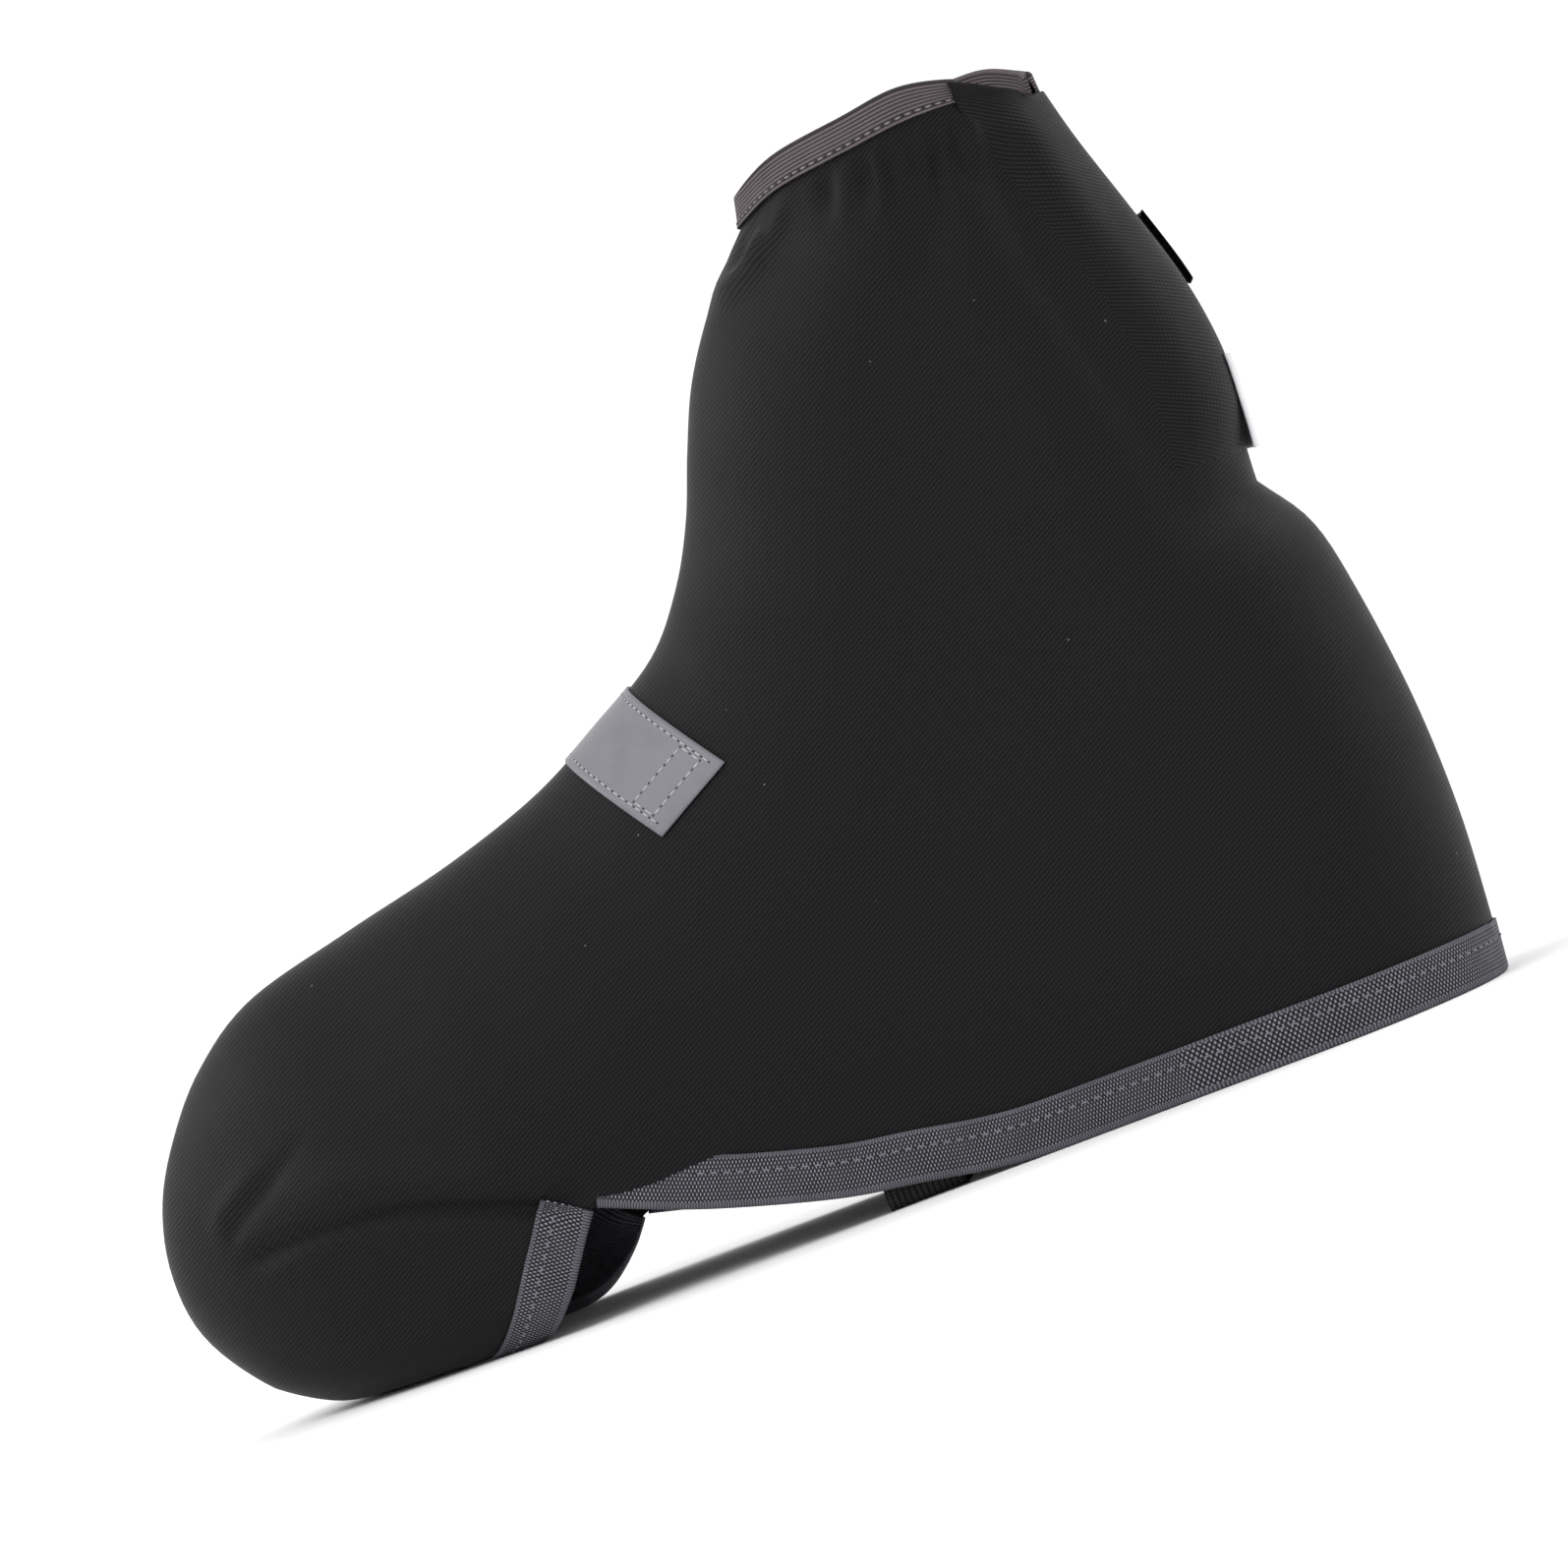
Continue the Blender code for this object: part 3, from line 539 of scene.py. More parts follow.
class Skin:
    """The cover's outer surface as a fine grid, creased, from which every piece is placed."""

    def __init__(self, pattern: Pattern) -> None:
        self.pattern = pattern
        self.index: list[int] = []
        self.mesh = bmesh.new()
        self.flat = self.lay_out()
        self.columns, self.rows = self.flat.shape[:2]
        self.vertices: dict[Side, list[bmesh.types.BMVert]] = {}
        self.weld_sides()
        self.crease()
        self.places = {side: self.read(side, "co") for side in Side}
        self.normals = {side: self.read(side, "normal") for side in Side}

    def station_list(self) -> list[tuple[str, float, float]]:
        """Every fine station below the collar's band.

        Returns:
            (rear line, share of the front seam, share of the rear line) for each.
        """
        front, back = self.pattern.front, self.pattern.back
        band = ELASTIC_WIDTH * (1 - COLLAR[0].rise) / front.length
        band_back = ELASTIC_WIDTH * (1 - COLLAR[-1].rise) / back.length
        before = Station("back", band, band_back, 1)
        stations = []
        for row in STATIONS:
            start = before.rear if row.line == before.line else 0.0
            if row.line != before.line:
                stations.append((row.line, before.front, start))
            for t in np.arange(1, row.steps + 1) / row.steps:
                opening = (row.line, start) == ("hem", 0.0)
                rear_t = 1 - math.cos(t * math.pi / 2) if opening else t
                share = before.front + t * (row.front - before.front)
                stations.append((row.line, share, start + rear_t * (row.rear - start)))
            self.index.append(BAND_STATIONS + len(stations) - 1)
            before = row
        return stations

    def lay_out(self) -> np.ndarray:
        """The grid's flat places.

        Returns:
            An array of stations by rows by (x, z).
        """
        share = ((1 - np.cos(np.linspace(0, math.pi, RIB_ROWS))) / 2)[:, None]
        front, back = self.pattern.front, self.pattern.back
        top = np.array([front.at(0.0), back.at(0.0)])
        across = share[:, 0]
        arch = collar_value(across, "arch")
        covered = ELASTIC_WIDTH - collar_value(across, "rise")
        chord = top[0, 1] + across * (top[1, 1] - top[0, 1])
        stations = []
        for depth in np.linspace(0.0, 1.0, BAND_STATIONS):
            start = front.at(depth * covered[0] / front.length)
            end = back.at(depth * covered[-1] / back.length)
            rib = start + share * (end - start)
            rib[1:-1, 1] = (chord + arch - depth * covered)[1:-1]
            stations.append(np.vstack([rib, np.repeat(rib[-1:], EDGE_ROWS, axis=0)]))
        swell = rib[:, 1] - (rib[0, 1] + across * (rib[-1, 1] - rib[0, 1]))
        fractions = np.linspace(1.0, 0.0, EDGE_ROWS + 1)
        for name, front_share, rear_share in self.station_list():
            start = front.at(front_share)
            if name == "back":
                ends = [back.at(rear_share)] * (EDGE_ROWS + 1)
            elif (name, rear_share) in (("hem", 0.0), ("pocket", 1.0)):
                seam = back if name == "hem" else front
                ends = [seam.at(1 - BINDING_WIDTH * f / seam.length) for f in fractions]
            else:
                line = getattr(self.pattern, name)
                gap = CORNER_GAP / 2 / line.length
                low = gap if name == "pocket" else 0.0
                high = 1 - gap if name == "hem" else 1.0
                held = min(max(rear_share, low), high)
                normal = line.inward(held, start)
                ends = [line.at(held) + normal * BINDING_WIDTH * f for f in fractions]
            rib = start + share * (ends[0] - start)
            if name == "back":
                rib[:, 1] += (1 - eased(rear_share, 0.0, ARCH_REACH)) * swell
            stations.append(np.vstack([rib, ends[1:]]))
        return np.array(stations)

    def weld_sides(self) -> None:
        """Makes both sides from grids and joins them along the seams."""
        seen: dict[tuple[float, ...], bmesh.types.BMVert] = {}
        merged: dict[bmesh.types.BMVert, bmesh.types.BMVert] = {}
        uv = self.mesh.loops.layers.uv.new("pattern")
        flat = self.flat.reshape(-1, 2)
        for side in Side:
            grid = bmesh.ops.create_grid(
                self.mesh, x_segments=self.columns - 1, y_segments=self.rows - 1, size=1.0
            )["verts"]
            places = self.pattern.standing(flat, side)
            on_seam = self.seam_mask()
            places[on_seam, 1] = 0.0
            order: list[bmesh.types.BMVert] = [None] * len(flat)
            for vertex in grid:
                column = round((vertex.co.x + 1) / 2 * (self.columns - 1))
                row = round((vertex.co.y + 1) / 2 * (self.rows - 1))
                place = column * self.rows + row
                order[place] = vertex
                vertex.co = places[place]
                for loop in vertex.link_loops:
                    loop[uv].uv = flat[place] / MM
            for place, vertex in enumerate(order):
                key = tuple(np.round(places[place], 6))
                if key in seen:
                    merged[vertex] = seen[key]
                    order[place] = seen[key]
                else:
                    seen[key] = vertex
            self.vertices[side] = order
        bmesh.ops.weld_verts(self.mesh, targetmap=merged)
        bmesh.ops.recalc_face_normals(self.mesh, faces=self.mesh.faces)
        self.mesh.normal_update()
        if sum(f.normal.y * f.calc_center_median().y * f.calc_area() for f in self.mesh.faces) < 0:
            bmesh.ops.reverse_faces(self.mesh, faces=self.mesh.faces)
            self.mesh.normal_update()

    def seam_mask(self) -> np.ndarray:
        """Which grid places lie on a seam.

        Returns:
            One flag a place.
        """
        mask = np.zeros((self.columns, self.rows), bool)
        mask[:, 0] = True
        heel = self.index[5] + 1
        mask[:heel, RIB_ROWS - 1 :] = True
        mask[heel, RIB_ROWS - 1 :] = True
        mask[-1, :] = True
        return mask.reshape(-1)

    def crease(self) -> None:
        """Moves the surface along its normals by the folds of each side."""
        flat = self.flat.reshape(-1, 2)
        shared = COLLAR_FOLDS + BACK_FOLDS + TOE_FOLDS + PANEL_FOLDS
        folds = {Side.NEAR: shared, Side.FAR: COLLAR_FOLDS + TOE_FOLDS + FAR_FOLDS}
        depth = self.pattern.front.distance(flat)
        gathers = np.arange(self.columns).repeat(self.rows)
        hold = eased(gathers, BAND_STATIONS - 1, BAND_STATIONS + 3)
        floor = eased(flat[:, 1], 0.004, 0.024)
        seam = eased(np.minimum(depth, self.pattern.back.distance(flat)), 0.0, 0.006)
        moves = {}
        for side in Side:
            relief = sum(fold.relief(flat) for fold in folds[side]) * hold * floor * (0.25 + 0.75 * seam)
            for place, vertex in enumerate(self.vertices[side]):
                moves.setdefault(vertex, []).append(vertex.normal * relief[place])
        for vertex, shifts in moves.items():
            shift = sum(shifts, Vector()) / len(shifts)
            if abs(vertex.co.y) < CLEARANCE:
                shift.y = 0.0
            vertex.co += shift
        self.mesh.normal_update()

    def read(self, side: Side, name: str) -> np.ndarray:
        """A vertex value over one side's grid.

        Args:
            side: which side.
            name: co or normal.

        Returns:
            An array of stations by rows by three.
        """
        values = np.array([getattr(vertex, name) for vertex in self.vertices[side]])
        return values.reshape(self.columns, self.rows, 3)

    def rib_row(self, station: np.ndarray, distance: np.ndarray) -> np.ndarray:
        """Row number at a distance from the front seam.

        Args:
            station: station numbers, whole or between.
            distance: metres along the station; negative values count from the rear end.

        Returns:
            Row numbers, whole or between.
        """
        lengths = np.hypot(*(self.flat[:, RIB_ROWS - 1] - self.flat[:, 0]).T)
        length = np.interp(station, np.arange(self.columns), lengths)
        share = np.clip(np.where(distance < 0, 1 + distance / length, distance / length), 0, 1)
        return np.arccos(1 - 2 * share) / math.pi * (RIB_ROWS - 1)

    def at(self, side: np.ndarray, station: np.ndarray, row: np.ndarray) -> tuple[np.ndarray, np.ndarray]:
        """Place and normal of the creased surface.

        Args:
            side: -1 near and 1 far, one a point.
            station: station numbers, whole or between.
            row: row numbers, whole or between.

        Returns:
            Places and unit normals, one row a point.
        """
        column = np.clip(station, 0, self.columns - 1.001)
        line = np.clip(row, 0, self.rows - 1.001)
        c, r = column.astype(int), line.astype(int)
        a, b = (column - c)[:, None], (line - r)[:, None]
        found = []
        for source in (self.places, self.normals):
            near, far = source[Side.NEAR], source[Side.FAR]
            both = np.stack([near, far])
            s = (side > 0).astype(int)
            value = (1 - a) * ((1 - b) * both[s, c, r] + b * both[s, c, r + 1])
            value += a * ((1 - b) * both[s, c + 1, r] + b * both[s, c + 1, r + 1])
            found.append(value)
        places, normals = found
        return places, normals / np.linalg.norm(normals, axis=1)[:, None]


class Graph:
    """The node tree of one material, built node by node."""

    def __init__(self, name: str) -> None:
        self.material = bpy.data.materials.new(name)
        self.material.use_nodes = True
        self.tree = self.material.node_tree
        self.shader = self.tree.nodes["Principled BSDF"]

    def add(self, kind: str, sockets: dict | None = None, **settings) -> bpy.types.Node:
        """Adds a node.

        Args:
            kind: the node's type.
            sockets: values or sockets for its inputs, by name or number.
            settings: the node's own options.

        Returns:
            The node.
        """
        node = self.tree.nodes.new(kind)
        for key, value in settings.items():
            setattr(node, key, value)
        for key, value in (sockets or {}).items():
            self.put(node.inputs[key], value)
        return node

    def put(self, socket: bpy.types.NodeSocket, value: object) -> None:
        """Links a socket, or sets its value.

        Args:
            socket: an input.
            value: an output socket or a plain value.
        """
        if isinstance(value, bpy.types.NodeSocket):
            self.tree.links.new(value, socket)
        else:
            socket.default_value = value

    def pattern(self, name: str = "pattern") -> bpy.types.NodeSocket:
        """The piece's flat coordinates in millimetres.

        Args:
            name: the UV map.

        Returns:
            The vector's socket.
        """
        return self.add("ShaderNodeUVMap", uv_map=name).outputs["UV"]

    def threads(self, vector: bpy.types.NodeSocket, period: float, angle: float, waver: float) -> bpy.types.NodeSocket:
        """Parallel threads.

        Args:
            vector: flat coordinates in millimetres.
            period: distance between threads in millimetres.
            angle: direction in degrees.
            waver: how uneven they run.

        Returns:
            A 0 to 1 wave across the threads.
        """
        turned = self.add(
            "ShaderNodeMapping", {"Vector": vector, "Rotation": (0.0, 0.0, math.radians(angle))}
        )
        wave = self.add(
            "ShaderNodeTexWave",
            {
                "Vector": turned.outputs["Vector"],
                "Scale": math.pi / 10 / period,
                "Distortion": waver,
                "Detail": 1.0,
                "Detail Scale": 0.6,
            },
            wave_type="BANDS",
            bands_direction="X",
            wave_profile="SIN",
        )
        return wave.outputs["Fac"]

    def noise(self, vector: bpy.types.NodeSocket, size: float, detail: float = 2.0) -> bpy.types.NodeSocket:
        """Soft noise.

        Args:
            vector: coordinates.
            size: size of its features, in the vector's unit.
            detail: octaves.

        Returns:
            A value near one half.
        """
        texture = self.add(
            "ShaderNodeTexNoise", {"Vector": vector, "Scale": 1.0 / size, "Detail": detail}
        )
        return texture.outputs["Fac"]

    def math(self, operation: str, a: object, b: object) -> bpy.types.NodeSocket:
        """Arithmetic on two values.

        Args:
            operation: the Math node's operation.
            a: first value or socket.
            b: second value or socket.

        Returns:
            The result's socket.
        """
        return self.add("ShaderNodeMath", {0: a, 1: b}, operation=operation).outputs[0]

    def ramp(self, value: object, low: float, high: float, start: float = 0.0, end: float = 1.0) -> bpy.types.NodeSocket:
        """A value mapped from one range to another, clamped.

        Args:
            value: the socket to map.
            low: where start is met.
            high: where end is met.
            start: result at low.
            end: result at high.

        Returns:
            The result's socket.
        """
        node = self.add("ShaderNodeMapRange", {0: value, 1: low, 2: high, 3: start, 4: end})
        return node.outputs[0]

    def blend(self, share: object, first: tuple, second: tuple) -> bpy.types.NodeSocket:
        """Mixes two colours.

        Args:
            share: how much of the second.
            first: colour at 0, or a socket.
            second: colour at 1, or a socket.

        Returns:
            The colour's socket.
        """
        node = self.add("ShaderNodeMix", data_type="RGBA")
        self.put(node.inputs[0], share)
        for socket, value in ((node.inputs[6], first), (node.inputs[7], second)):
            self.put(socket, (*value, 1.0) if isinstance(value, tuple) else value)
        return node.outputs[2]

    def bump(self, height: bpy.types.NodeSocket, depth: float) -> None:
        """Puts relief on the shader.

        Args:
            height: 0 to 1 relief.
            depth: its depth in millimetres.
        """
        node = self.add("ShaderNodeBump", {"Height": height, "Distance": depth * MM, "Strength": 1.0})
        self.put(self.shader.inputs["Normal"], node.outputs["Normal"])


@dataclass(frozen=True)
class Twill:
    """Fine black woven cloth with a soft sheen."""

    name: str = "black_twill"
    dark: tuple[float, float, float] = (0.0022, 0.0019, 0.0022)
    light: tuple[float, float, float] = (0.0150, 0.0132, 0.0147)
    period: float = 0.95
    angle: float = 61.0
    roughness: float = 0.60

    def material(self) -> bpy.types.Material:
        """Builds the material.

        Returns:
            The material.
        """
        g = Graph(self.name)
        cloth = g.pattern()
        ribs = g.threads(cloth, self.period, self.angle, 0.8)
        warp = g.threads(cloth, self.period * 0.75, self.angle - 70.0, 0.9)
        weave = g.math("MULTIPLY", g.ramp(ribs, 0.15, 0.9), g.ramp(warp, 0.0, 0.8, 0.35, 1.0))
        tone = g.noise(cloth, 26.0, 3.0)
        lint = g.add("ShaderNodeTexVoronoi", {"Vector": cloth, "Scale": 0.085, "Randomness": 1.0})
        speck = g.ramp(lint.outputs["Distance"], 0.010, 0.026, 1.0, 0.0)
        threads = g.blend(weave, self.dark, self.light)
        worn = g.add("ShaderNodeMix", data_type="RGBA", blend_type="MULTIPLY")
        g.put(worn.inputs[0], 1.0)
        g.put(worn.inputs[6], threads)
        g.put(worn.inputs[7], g.blend(g.ramp(tone, 0.3, 0.7), (0.86, 0.84, 0.88), (1.0, 1.0, 1.0)))
        colour = g.blend(g.math("MULTIPLY", speck, 0.6), worn.outputs[2], (0.22, 0.22, 0.22))
        g.put(g.shader.inputs["Base Color"], colour)
        g.put(g.shader.inputs["Roughness"], g.ramp(tone, 0.3, 0.7, self.roughness - 0.05, self.roughness + 0.05))
        g.shader.inputs["Specular IOR Level"].default_value = 0.13
        g.shader.inputs["Sheen Weight"].default_value = 0.060
        g.shader.inputs["Sheen Roughness"].default_value = 0.30
        g.shader.inputs["Sheen Tint"].default_value = (1.0, 0.93, 0.96, 1.0)
        g.bump(weave, 0.07)
        return g.material


@dataclass(frozen=True)
class Webbing:
    """Woven edge tape with a diagonal basket weave and bright selvedges."""

    name: str = "edge_tape"
    dark: tuple[float, float, float] = (0.010, 0.010, 0.013)
    light: tuple[float, float, float] = (0.270, 0.272, 0.310)
    period: float = 0.885
    slant: float = 27.8
    width: float = 12.3

    def material(self) -> bpy.types.Material:
        """Builds the material.

        Returns:
            The material.
        """
        g = Graph(self.name)
        cloth = g.pattern()
        one = g.threads(cloth, self.period, self.slant, 0.25)
        two = g.threads(cloth, self.period, -self.slant, 0.25)
        weave = g.ramp(g.math("MULTIPLY", one, two), 0.10, 0.75)
        across = g.add("ShaderNodeSeparateXYZ", {0: cloth}).outputs[1]
        inner = g.math("ABSOLUTE", g.math("SUBTRACT", across, self.width / 2), 0.0)
        selvedge = g.ramp(inner, self.width / 2 - 1.1, self.width / 2 - 0.7)
        cord = g.threads(cloth, 0.75, 0.0, 0.2)
        lines = g.blend(weave, self.dark, self.light)
        edge = g.blend(cord, (0.030, 0.030, 0.038), (0.150, 0.150, 0.175))
        tone = g.noise(cloth, 9.0)
        worn = g.add("ShaderNodeMix", data_type="RGBA", blend_type="MULTIPLY")
        g.put(worn.inputs[0], 1.0)
        g.put(worn.inputs[6], g.blend(selvedge, lines, edge))
        g.put(worn.inputs[7], g.blend(g.ramp(tone, 0.3, 0.7), (0.80, 0.80, 0.80), (1.0, 1.0, 1.0)))
        g.put(g.shader.inputs["Base Color"], worn.outputs[2])
        g.put(g.shader.inputs["Roughness"], g.ramp(weave, 0.0, 1.0, 0.75, 0.5))
        g.shader.inputs["Specular IOR Level"].default_value = 0.20
        g.bump(weave, 0.14)
        return g.material


@dataclass(frozen=True)
class Elastic:
    """Ribbed elastic: lengthwise ribs crossed by fine crimped threads."""

    name: str
    dark: tuple[float, float, float]
    light: tuple[float, float, float]
    rib: float = 1.05
    crimp: float = 0.45

    def material(self) -> bpy.types.Material:
        """Builds the material.

        Returns:
            The material.
        """
        g = Graph(self.name)
        cloth = g.pattern()
        ribs = g.threads(cloth, self.rib, 90.0, 0.15)
        crimp = g.threads(cloth, self.crimp, 0.0, 0.5)
        height = g.math("MULTIPLY", g.ramp(ribs, 0.02, 0.42), g.ramp(crimp, 0.0, 0.9, 0.55, 1.0))
        tone = g.noise(cloth, 7.0)
        worn = g.add("ShaderNodeMix", data_type="RGBA", blend_type="MULTIPLY")
        g.put(worn.inputs[0], 1.0)
        g.put(worn.inputs[6], g.blend(height, self.dark, self.light))
        g.put(worn.inputs[7], g.blend(g.ramp(tone, 0.3, 0.7), (0.85, 0.85, 0.85), (1.0, 1.0, 1.0)))
        g.put(g.shader.inputs["Base Color"], worn.outputs[2])
        g.put(g.shader.inputs["Roughness"], g.ramp(height, 0.0, 1.0, 0.9, 0.7))
        g.shader.inputs["Specular IOR Level"].default_value = 0.12
        g.bump(height, 0.22)
        return g.material


@dataclass(frozen=True)
class Film:
    """Reflective film on cloth: smooth grey with a fine grain and soft scuffs."""

    name: str
    dark: tuple[float, float, float]
    light: tuple[float, float, float]
    roughness: float = 0.42

    def material(self) -> bpy.types.Material:
        """Builds the material.

        Returns:
            The material.
        """
        g = Graph(self.name)
        cloth = g.pattern()
        grain = g.noise(cloth, 0.35, 1.0)
        scuff = g.noise(cloth, 6.0, 4.0)
        share = g.math("ADD", g.math("MULTIPLY", grain, 0.35), g.math("MULTIPLY", scuff, 0.65))
        g.put(g.shader.inputs["Base Color"], g.blend(g.ramp(share, 0.3, 0.7), self.dark, self.light))
        g.put(g.shader.inputs["Roughness"], g.ramp(scuff, 0.3, 0.7, self.roughness - 0.06, self.roughness + 0.08))
        g.shader.inputs["Specular IOR Level"].default_value = 0.4
        g.bump(g.math("ADD", grain, scuff), 0.03)
        return g.material


@dataclass(frozen=True)
class Hooks:
    """Hook and loop tape: rows of tiny dark hooks."""

    name: str = "hook_tape"
    dark: tuple[float, float, float] = (0.004, 0.004, 0.005)
    light: tuple[float, float, float] = (0.040, 0.040, 0.044)
    pitch: float = 1.3

    def material(self) -> bpy.types.Material:
        """Builds the material.

        Returns:
            The material.
        """
        g = Graph(self.name)
        cloth = g.pattern()
        cells = g.add(
            "ShaderNodeTexVoronoi", {"Vector": cloth, "Scale": 1 / self.pitch, "Randomness": 0.35}
        )
        hook = g.ramp(cells.outputs["Distance"], 0.15, 0.5, 1.0, 0.0)
        g.put(g.shader.inputs["Base Color"], g.blend(hook, self.dark, self.light))
        g.put(g.shader.inputs["Roughness"], g.ramp(hook, 0.0, 1.0, 0.9, 0.55))
        g.bump(hook, 0.5)
        return g.material


@dataclass(frozen=True)
class ThreadAndHoleShade:
    """Twisted sewing thread, and with near-black colours the painted shade in stitch holes."""

    name: str
    dark: tuple[float, float, float]
    light: tuple[float, float, float]

    def material(self) -> bpy.types.Material:
        """Builds the material.

        Returns:
            The material.
        """
        g = Graph(self.name)
        place = g.add("ShaderNodeTexCoord").outputs["Object"]
        twist = g.noise(place, 0.25 * MM)
        g.put(g.shader.inputs["Base Color"], g.blend(g.ramp(twist, 0.35, 0.65), self.dark, self.light))
        g.put(g.shader.inputs["Roughness"], g.ramp(twist, 0.3, 0.7, 0.5, 0.7))
        return g.material


def finished(name: str, mesh: bmesh.types.BMesh, material: bpy.types.Material) -> bpy.types.Object:
    """Turns mesh data into a piece that rides with the cover.

    Args:
        name: the piece's name.
        mesh: its faces; it is freed here.
        material: its finish.

    Returns:
        The piece.
    """
    data = bpy.data.meshes.new(name)
    mesh.to_mesh(data)
    mesh.free()
    data.shade_smooth()
    data.materials.append(material)
    piece = bpy.data.objects.new(name, data)
    bpy.context.scene.collection.objects.link(piece)
    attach(piece, "root")
    log.info("%s: %d faces", name, len(data.polygons))
    return piece


def thicken(piece: bpy.types.Object, thickness: float, offset: float) -> None:
    """Gives a sheet its thickness.

    Args:
        piece: the sheet.
        thickness: metres.
        offset: -1 grows inwards, 0 both ways, 1 outwards.
    """
    wall = piece.modifiers.new("thickness", "SOLIDIFY")
    wall.thickness = thickness
    wall.offset = offset
    wall.use_even_offset = False


Placer = Callable[[np.ndarray, np.ndarray], tuple[np.ndarray, np.ndarray]]


def placed_grid(columns: int, rows: int, place: Placer) -> bmesh.types.BMesh:
    """A grid of quads laid on a surface.

    Args:
        columns: steps along.
        rows: steps across.
        place: gives places and flat millimetre coordinates for shares along and across.

    Returns:
        The mesh, with its flat coordinates as the UV map named pattern.
    """
    mesh = bmesh.new()
    uv = mesh.loops.layers.uv.new("pattern")
    grid = bmesh.ops.create_grid(mesh, x_segments=columns, y_segments=rows, size=0.5)["verts"]
    shares = np.array([vertex.co for vertex in grid])[:, :2] + 0.5
    places, flat = place(shares[:, 0], shares[:, 1])
    for vertex, co, corner in zip(grid, places, flat):
        vertex.co = co
        for loop in vertex.link_loops:
            loop[uv].uv = corner
    bmesh.ops.remove_doubles(mesh, verts=mesh.verts, dist=1e-6)
    return mesh


@dataclass(frozen=True)
class Stitches:
    """A row of stitches along a path on a surface."""

    pitch: float = 3.2 * MM
    share: float = 0.68
    radius: float = 0.26 * MM
    hole: float = 0.42 * MM

    def sew(self, name: str, paths: list[tuple[np.ndarray, np.ndarray]], thread: ThreadAndHoleShade, hole_shade: ThreadAndHoleShade) -> None:
        """Makes the stitches and the painted shade at each stitch hole.

        Args:
            name: the pieces' name.
            paths: for each row, its places and normals.
            thread: the thread's finish.
            hole_shade: the finish that paints shade into each stitch hole.
        """
        # the second mesh holds near-black marks of painted shade in the stitch holes
        stitches, hole_shades = bmesh.new(), bmesh.new()
        for places, normals in paths:
            steps = np.linalg.norm(np.diff(places, axis=0), axis=1)
            reach = np.concatenate([[0.0], np.cumsum(steps)])
            count = max(int(reach[-1] / self.pitch), 1)
            for k in range(count):
                middle = (k + 0.5) * reach[-1] / count
                self.stamp(stitches, places, normals, reach, middle, count)
                self.paint_hole_shade(hole_shades, places, normals, reach, k * reach[-1] / count)
        finished(f"{name}_thread", stitches, thread.material())
        finished(f"{name}_holes", hole_shades, hole_shade.material())

    def read(self, places: np.ndarray, normals: np.ndarray, reach: np.ndarray, s: float) -> tuple[Vector, Vector, Vector]:
        """Place, direction and normal at a length along a row.

        Args:
            places: the row's places.
            normals: the surface's normals there.
            reach: lengths at those places.
            s: the wanted length.

        Returns:
            The place, the unit direction and the unit normal.
        """
        step = self.pitch / 4
        spot, ahead, behind = (
            Vector([np.interp(t, reach, places[:, k]) for k in range(3)]) for t in (s, s + step, s - step)
        )
        normal = Vector([np.interp(s, reach, normals[:, k]) for k in range(3)]).normalized()
        way = (ahead - behind).normalized()
        return spot, (way - normal * way.dot(normal)).normalized(), normal

    def stamp(self, mesh: bmesh.types.BMesh, places: np.ndarray, normals: np.ndarray, reach: np.ndarray, s: float, count: int) -> None:
        """One stitch lying on the surface.

        Args:
            mesh: where it goes.
            places: the row's places.
            normals: the surface's normals there.
            reach: lengths at those places.
            s: its middle along the row.
            count: stitches in the row.
        """
        spot, way, normal = self.read(places, normals, reach, s)
        half = reach[-1] / count * self.share / 2
        turn = Matrix((way, normal.cross(way), normal)).transposed().to_4x4()
        size = Matrix.Diagonal((half, self.radius, self.radius * 0.8, 1.0))
        bmesh.ops.create_uvsphere(
            mesh, u_segments=8, v_segments=6, radius=1.0, matrix=Matrix.Translation(spot) @ turn @ size
        )

    def paint_hole_shade(self, mesh: bmesh.types.BMesh, places: np.ndarray, normals: np.ndarray, reach: np.ndarray, s: float) -> None:
        """Painted shade for one stitch hole: a near-black dimple level with the surface.

        Args:
            mesh: where it goes.
            places: the row's places.
            normals: the surface's normals there.
            reach: lengths at those places.
            s: its place along the row.
        """
        spot, way, normal = self.read(places, normals, reach, s)
        turn = Matrix((way, normal.cross(way), normal)).transposed().to_4x4()
        size = Matrix.Diagonal((self.hole, self.hole * 0.8, self.radius * 0.35, 1.0))
        bmesh.ops.create_uvsphere(
            mesh, u_segments=8, v_segments=4, radius=1.0, matrix=Matrix.Translation(spot) @ turn @ size
        )


@dataclass
class Upper:
    """The hollow fabric shell."""

    skin: Skin
    cloth: bpy.types.Material
    wall: float = WALL

    def build(self) -> bpy.types.Object:
        """Makes the shell from the creased surface.

        Returns:
            The piece.
        """
        piece = finished("upper_fabric", self.skin.mesh.copy(), self.cloth)
        thicken(piece, self.wall, -1.0)
        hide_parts("upper")
        return piece


